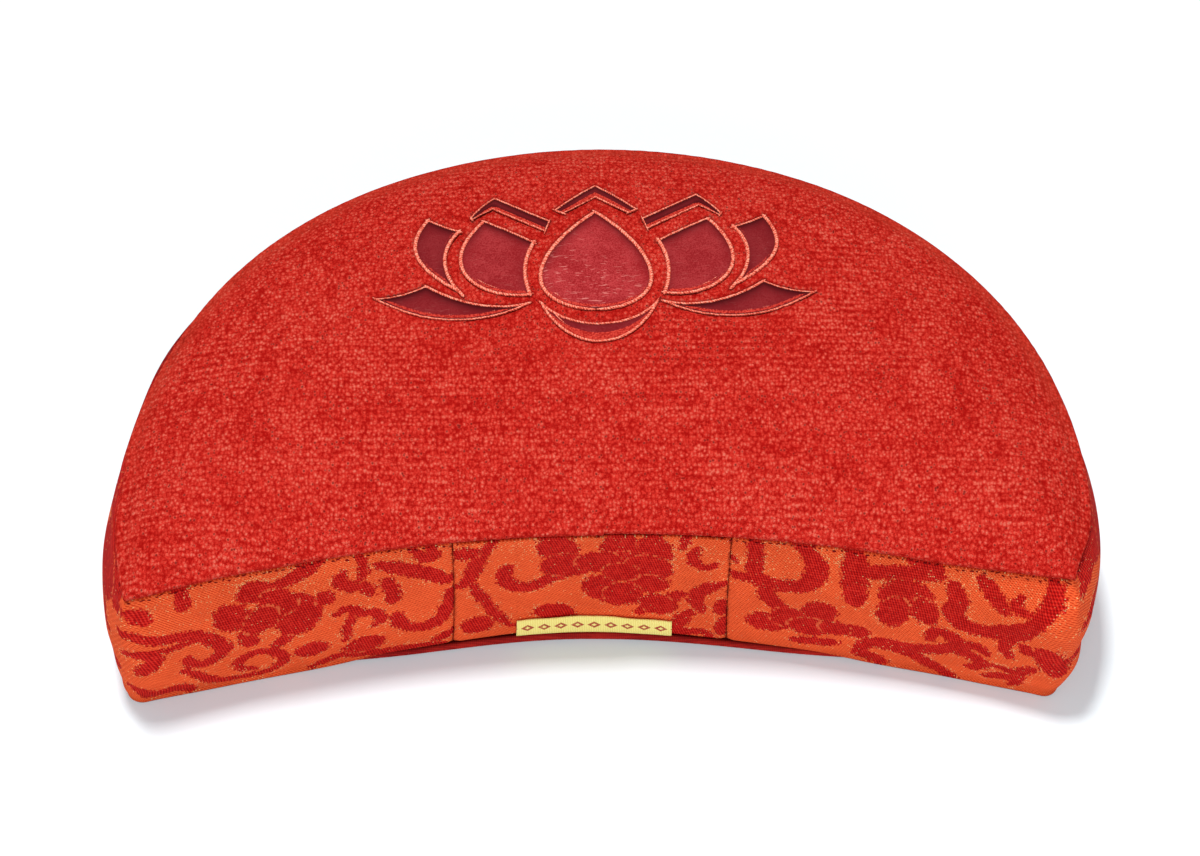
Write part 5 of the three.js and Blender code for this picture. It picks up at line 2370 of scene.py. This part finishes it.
@dataclass
class WallCloths:
    """The brocade band and insert, the label and the bottom panel.

    Attributes:
        slit: half of what is left between the band and the insert.
        band_top: share of the wall's height up to which both reach.
        thickness: their thickness.
        fold: way of the pressed fold of the insert.
        label: X of the label's two ends, and the shares of the wall between which it lies.
        label_thickness: its thickness.
        levels: for each ring of the bottom panel its offset from the foot and its height,
            outside first and then inside.
        stitch_pitch: distance from stitch to stitch.
        stitch_form: half thickness along a stitch, in shares of the greatest.
    """

    slit: float = 0.2
    band_top: float = 0.998
    thickness: float = 1.4
    fold: float = -39.0
    label: tuple[float, float, float, float] = (-39.0, 31.8, 0.006, 0.168)
    label_thickness: float = 0.6
    levels: tuple[tuple[float, float], ...] = (
        (-6, 0), (-4, 0.05), (-1.6, 0.3), (0.0, 0.8), (0.9, 1.6), (0.8, 2.4), (0.3, 3.1),
        (-1.0, 3.1), (-2.4, 2.2), (-5.6, 1.7), (-6, 1.8),
    )
    stitch_pitch: float = 3.1
    stitch_form: tuple[float, ...] = (0.4, 0.9, 1.0, 0.9, 0.4)

    def band(self, cloth: bpy.types.Material) -> bpy.types.Object:
        """Makes the side band, from the right side of the insert round to its left side.

        Args:
            cloth: finish of the brocade.

        Returns:
            The piece that stands for the CAD node "side_band".
        """
        half, whole = SHAPE.corner_middle, SHAPE.length
        start = front_way(SHAPE.insert_right) + self.slit
        end = whole + front_way(SHAPE.insert_left) - self.slit
        ways = np.concatenate(
            [
                np.linspace(start, half + 12, 160)[:-1],
                np.linspace(half + 12, whole - half - 12, 340)[:-1],
                np.linspace(whole - half - 12, end, 160),
            ]
        )
        signed = np.where(ways > whole / 2, ways - whole, ways)
        lowest = -0.034 + 0.046 * np.exp(-((np.abs(signed) / 112) ** 8))
        way, part = np.meshgrid(ways, np.linspace(0, 1, 88), indexing="ij")
        share = lowest[:, None] + (self.band_top - lowest[:, None]) * part
        height = share * SHAPE.tall
        depth, vein = BrocadePrint().on_band(way, height)
        at_side = self._sides(way, 1.8)
        at_top = bell(share - self.band_top, 0.014)
        outwards = self._drape(way, height) - 0.1 * at_top - 0.9 * at_side
        eased = bell(signed[:, None] + 355, 40) + 0.3 * bell(signed[:, None] + 265, 50)
        outwards = outwards + 2.3 * eased * bell(share - 0.94, 0.035)
        weave = np.stack([way, height], -1)
        round_end = unit((np.abs(signed)[:, None] - 205) / 12)
        # Painted shade under the chenille's rolled edge, strongest round the ends, and along the
        # side seams.
        crease = unit((0.1 + 0.85 * round_end) * at_top + 0.6 * self._sides(way, 0.9))
        depth = np.maximum(depth, np.where(share > 0.88, 34 * round_end - 30, -30))
        # More painted shade under the overhang at the left back.
        crease = np.maximum(crease, 0.8 * bell(signed[:, None] + 355, 44) * (share > 0.86))
        fields = {"weave": weave, "motif": depth, "vein": vein, "crease": crease}
        skin = strip(ways, share, outwards, self.thickness, **fields)
        piece = skin.dress("brocade_band", cloth, "side_band", "brocade")
        return piece

    @staticmethod
    def _sides(way: Array, wide: float) -> Array:
        """Bell curves of the way to the first column and to the last one, added up."""
        return bell(way - way[0, 0], wide) + bell(way - way[-1, 0], wide)

    @staticmethod
    def _drape(way: Array, height: Array) -> Array:
        """Slight unevenness of the stretched cloth; 0 at both seams."""
        fade = unit(height / 12) * unit((98 - height) / 8)
        return 0.35 * fade * ripple(way, height, 45, 41)

    @staticmethod
    def _wall_length() -> float:
        """Length of the wall's curve from the lower seam to the upper one."""
        share = np.linspace(0, 1, 200)
        rise = SHAPE.tall * share
        return float(np.hypot(np.diff(SHAPE.wall_offset(share)), np.diff(rise)).sum())

    @staticmethod
    def _insert_stand(share: Array) -> Array:
        """How far the insert stands out; its hem is drawn in a little."""
        return 0.6 - 0.5 * np.exp(-share / 0.03)

    def insert(self, cloth: bpy.types.Material) -> bpy.types.Object:
        """Makes the insert in the hollow front.

        Args:
            cloth: finish of the brocade.

        Returns:
            The piece that stands for the CAD node "front_insert".
        """
        start = front_way(SHAPE.insert_left) + self.slit
        end = front_way(SHAPE.insert_right) - self.slit
        ways = np.linspace(start, end, 128)
        way, share = np.meshgrid(ways, np.linspace(0.02, self.band_top, 104), indexing="ij")
        height = share * SHAPE.tall
        depth, vein = BrocadePrint().on_insert(way, height)
        at_top = bell(share - self.band_top, 0.014)
        at_fold = 0.25 * bell(way - self.fold, 0.8)
        outwards = self._insert_stand(share) - self._sides(way, 1.8) - 0.1 * at_top - 0.6 * at_fold
        outwards = outwards + 0.25 * unit(height / 12) * ripple(way, height, 30, 43)
        weave = np.stack([way, height], -1)
        # Painted shade at the top, at the side seams and at the pressed fold.
        crease = unit(0.1 * at_top + 0.6 * self._sides(way, 0.9) + at_fold)
        fields = {"weave": weave, "motif": depth, "vein": vein, "crease": crease}
        skin = strip(ways, share, outwards, self.thickness, **fields)
        piece = skin.dress("brocade_insert", cloth, "front_insert", "brocade")
        return piece

    def ribbon(self, cloth: bpy.types.Material) -> bpy.types.Object:
        """Makes the woven label, sewn on along the foot of the insert.

        Args:
            cloth: finish of the label.

        Returns:
            The piece that stands for the CAD node "label".
        """
        left, right, low, high = self.label
        ways = np.linspace(front_way(left), front_way(right), 120)
        way, part = np.meshgrid(ways, np.linspace(0, 1, 18), indexing="ij")
        wavy = 0.012 * bell(way + 6, 12) + 0.006 * ripple(way, 0 * way, 24, 46)
        share = low + (high - low + wavy) * part + 0.3 * wavy * (1 - part)
        tall = (high - low) * SHAPE.tall
        across = (part - 0.5) * tall
        wave = 0.25 * ripple(way, across, 22, 44)
        edge = np.maximum(np.abs(way - ways.mean()) - np.ptp(ways) / 2 + 1.5, 0)
        outwards = self._insert_stand(share) + 0.9 + 0.35 * (1 + wave) - 0.12 * edge
        weave = np.stack([way - ways.mean(), across], -1)
        skin = strip(ways, share, outwards, self.label_thickness, weave=weave)
        piece = skin.dress("woven_ribbon", cloth, "label", "label")
        return piece

    def bottom(self, cloth: bpy.types.Material) -> bpy.types.Object:
        """Makes the bottom panel: flat where it rests, its edge turned up to the lower seam.

        Args:
            cloth: finish of the panel.

        Returns:
            The piece that stands for the CAD node "bottom_panel".
        """
        body = FilledBody(columns=200, rows=50)
        way = body.ring_way()
        inset = -SHAPE.bottom_inset
        near = np.minimum(way, SHAPE.length - way)
        drawn_in = 3.0 * (1 - np.exp(-((near / 110) ** 8)))
        rings = []
        for offset, z in self.levels:
            drawn = drawn_in * unit((offset + 6) / 4)
            rings.append(spots(*SHAPE.rim(way, inset + offset - drawn), z))
        edge = Skin.of_grid(np.stack(rings), wrap=True)
        x, y = body.crescent(inset - 6, body.rows)
        fade = unit((SHAPE.top_height(x, y) - SHAPE.top_seam - 13) / 4)
        uneven = 0.15 * fade * np.maximum(1 + ripple(x, y, 40, 45), 0)
        below = Skin.of_grid(spots(x, y, uneven)).turned()
        above = Skin.of_grid(spots(x, y, self.levels[-1][1]))
        skin = Skin.joined([edge, below, above]).welded()
        skin.points = SHAPE.settled(skin.points)
        piece = skin.dress("bottom_cloth", cloth, "bottom_panel", "base_cloth")
        area = enclosed(*SHAPE.rim(way, inset)) * MM**2
        return piece

    def stitches(self, thread: bpy.types.Material) -> None:
        """Makes small uneven stitches that show under the rolled edge, all the way round.

        Args:
            thread: finish of the stitches.
        """
        sides, even = 6, np.arange(0, SHAPE.length, self.stitch_pitch)
        rng = np.random.default_rng(51)
        skins = []
        for middle in even + rng.uniform(-0.6, 0.6, len(even)):
            long, thick = rng.uniform(0.3, 1.1), rng.uniform(0.25, 0.5)
            ways = np.linspace(middle - long, middle + long, 5)
            share = np.linspace(0, rng.uniform(-0.01, 0.01), 5) + rng.uniform(0.982, 0.997)
            path = SHAPE.wall(ways, share, 0.25)
            out = spots(*SHAPE.rim(ways, 1.0), 0) - spots(*SHAPE.rim(ways, 0.0), 0)
            half = thick * np.array(self.stitch_form)
            skins.append(swept(path, out, half, half * 0.7, sides))
        Skin.joined(skins).build("seam_stitches", thread)


# ---------------------------------------------------------------- studio


@dataclass(frozen=True)
class SoftLight:
    """A square area light.

    Attributes:
        name: its name.
        place: where it stands, in metres in the part's frame.
        size: side of the square in metres.
        power: watts.
    """

    name: str
    place: tuple[float, float, float]
    size: float
    power: float

    def build(self, target: Vector) -> None:
        """Makes the light.

        Args:
            target: the place that it is turned to, in metres.
        """
        light = bpy.data.lights.new(self.name, "AREA")
        light.energy, light.size = self.power, self.size
        lamp = bpy.data.objects.new(self.name, light)
        way = target - Vector(self.place)
        turned = way.to_track_quat("-Z", "Y").to_matrix().to_4x4()
        lamp.matrix_world = Matrix.Translation(self.place) @ turned
        bpy.context.scene.collection.objects.link(lamp)


@dataclass(frozen=True)
class Studio:
    """Floor, light and camera.

    Attributes:
        elevation: how steeply the camera looks down.
        distance: how far it is from its target, in millimetres.
        yaw: how far it stands round the target.
        roll: how far it is turned about its own line of sight.
        lens: focal length for the sensor's width.
        sensor: that width.
        shift: how far the picture is moved on the sensor, in shares of the width.
        target: Y and height of the camera's target.
        middle: what the lights are turned to, in metres.
        brightness: strength of the even light.
        lights: the soft lights.
        floor_side: half the side of the floor, in metres.
        floor_height: a hair under the cushion, so that the two never share a plane.
    """

    elevation: float = math.radians(55)
    distance: float = 2630.0
    yaw: float = math.radians(1.71)
    roll: float = math.radians(-1.05)
    lens: float = 170.6
    sensor: float = 36.0
    shift: tuple[float, float] = (-0.0049, -0.0121)
    target: tuple[float, float] = (95.0, 47.5)
    middle: tuple[float, float, float] = (0.0, 0.02, 0.05)
    brightness: float = 0.4
    lights: tuple[SoftLight, ...] = (
        SoftLight("key_light", (-0.6, 0.06, 6.0), 0.72, 314.0),
        SoftLight("front_fill", (0.1, -1.9, 1.3), 1.2, 20.0),
    )
    floor_side: float = 3.0
    floor_height: float = -0.0001

    def build(self, floor: FloorFinish) -> None:
        """Sets up the studio.

        Args:
            floor: finish of the floor.
        """
        self._floor(floor)
        self._world()
        for light in self.lights:
            light.build(Vector(self.middle))
        self._camera()
        bpy.context.scene.view_settings.view_transform = "Standard"

    def _floor(self, finish: FloorFinish) -> None:
        """Makes a wide plain floor under the object.

        Args:
            finish: its finish.
        """
        mesh = bpy.data.meshes.new("floor")
        side, low = self.floor_side, self.floor_height
        corners = [(-side, -side, low), (side, -side, low), (side, side, low), (-side, side, low)]
        mesh.from_pydata(corners, [], [(0, 1, 2, 3)])
        mesh.materials.append(finish.material())
        floor = bpy.data.objects.new("floor", mesh)
        bpy.context.scene.collection.objects.link(floor)

    def _world(self) -> None:
        """Even white light from all round."""
        world = bpy.data.worlds.new("studio")
        world.use_nodes = True
        background = world.node_tree.nodes["Background"]
        background.inputs["Color"].default_value = (1.0, 1.0, 1.0, 1.0)
        background.inputs["Strength"].default_value = self.brightness
        bpy.context.scene.world = world

    def _camera(self) -> None:
        """Makes the camera: out from the target by elevation and yaw, then rolled."""
        reach, height = self.target
        back = reach - self.distance * math.cos(self.elevation)
        rise = height + self.distance * math.sin(self.elevation)
        turn = np.array([math.sin(self.yaw), math.cos(self.yaw)])
        eye = Vector(SHAPE.to_part(np.array([*(back * turn), rise])))
        aim = Vector(SHAPE.to_part(np.array([*(reach * turn), height])))
        facing = (aim - eye).to_track_quat("-Z", "Y").to_matrix().to_4x4()
        lens = bpy.data.cameras.new("camera")
        lens.lens, lens.sensor_width = self.lens, self.sensor
        lens.shift_x, lens.shift_y = self.shift
        camera = bpy.data.objects.new("camera", lens)
        rolled = Matrix.Rotation(-self.roll, 4, "Z")
        camera.matrix_world = Matrix.Translation(eye) @ facing @ rolled
        bpy.context.scene.collection.objects.link(camera)
        bpy.context.scene.camera = camera


# ---------------------------------------------------------------- the whole


def main() -> None:
    """Builds every part of the cushion in order, then the studio."""
    logging.basicConfig(level=logging.INFO, format="%(name)s %(message)s")
    chenille, velvet, satin = ChenilleFinish(), VelvetFinish(), SatinFinish()
    brocade, cotton, ribbon = BrocadeFinish(), PlainClothFinish(), RibbonFinish()
    thread = PlainClothFinish(name="dark_red_thread", body="#8e1014", dark="#6a0a0e")

    coarse = FilledBody(columns=96, rows=34).coarse(SHAPE.filling.smaller)
    SHAPE.filling.settle(coarse, SHAPE.length)
    lotus = Lotus()
    FilledBody().build(lotus, chenille.material())
    walls = WallCloths()
    cloth = brocade.material()
    walls.band(cloth)
    walls.insert(cloth)
    walls.ribbon(ribbon.material())
    walls.bottom(cotton.material())
    walls.stitches(thread.material())
    lotus.build(velvet.material(), satin.material())
    Studio().build(FloorFinish())


if __name__ == "__main__":
    main()
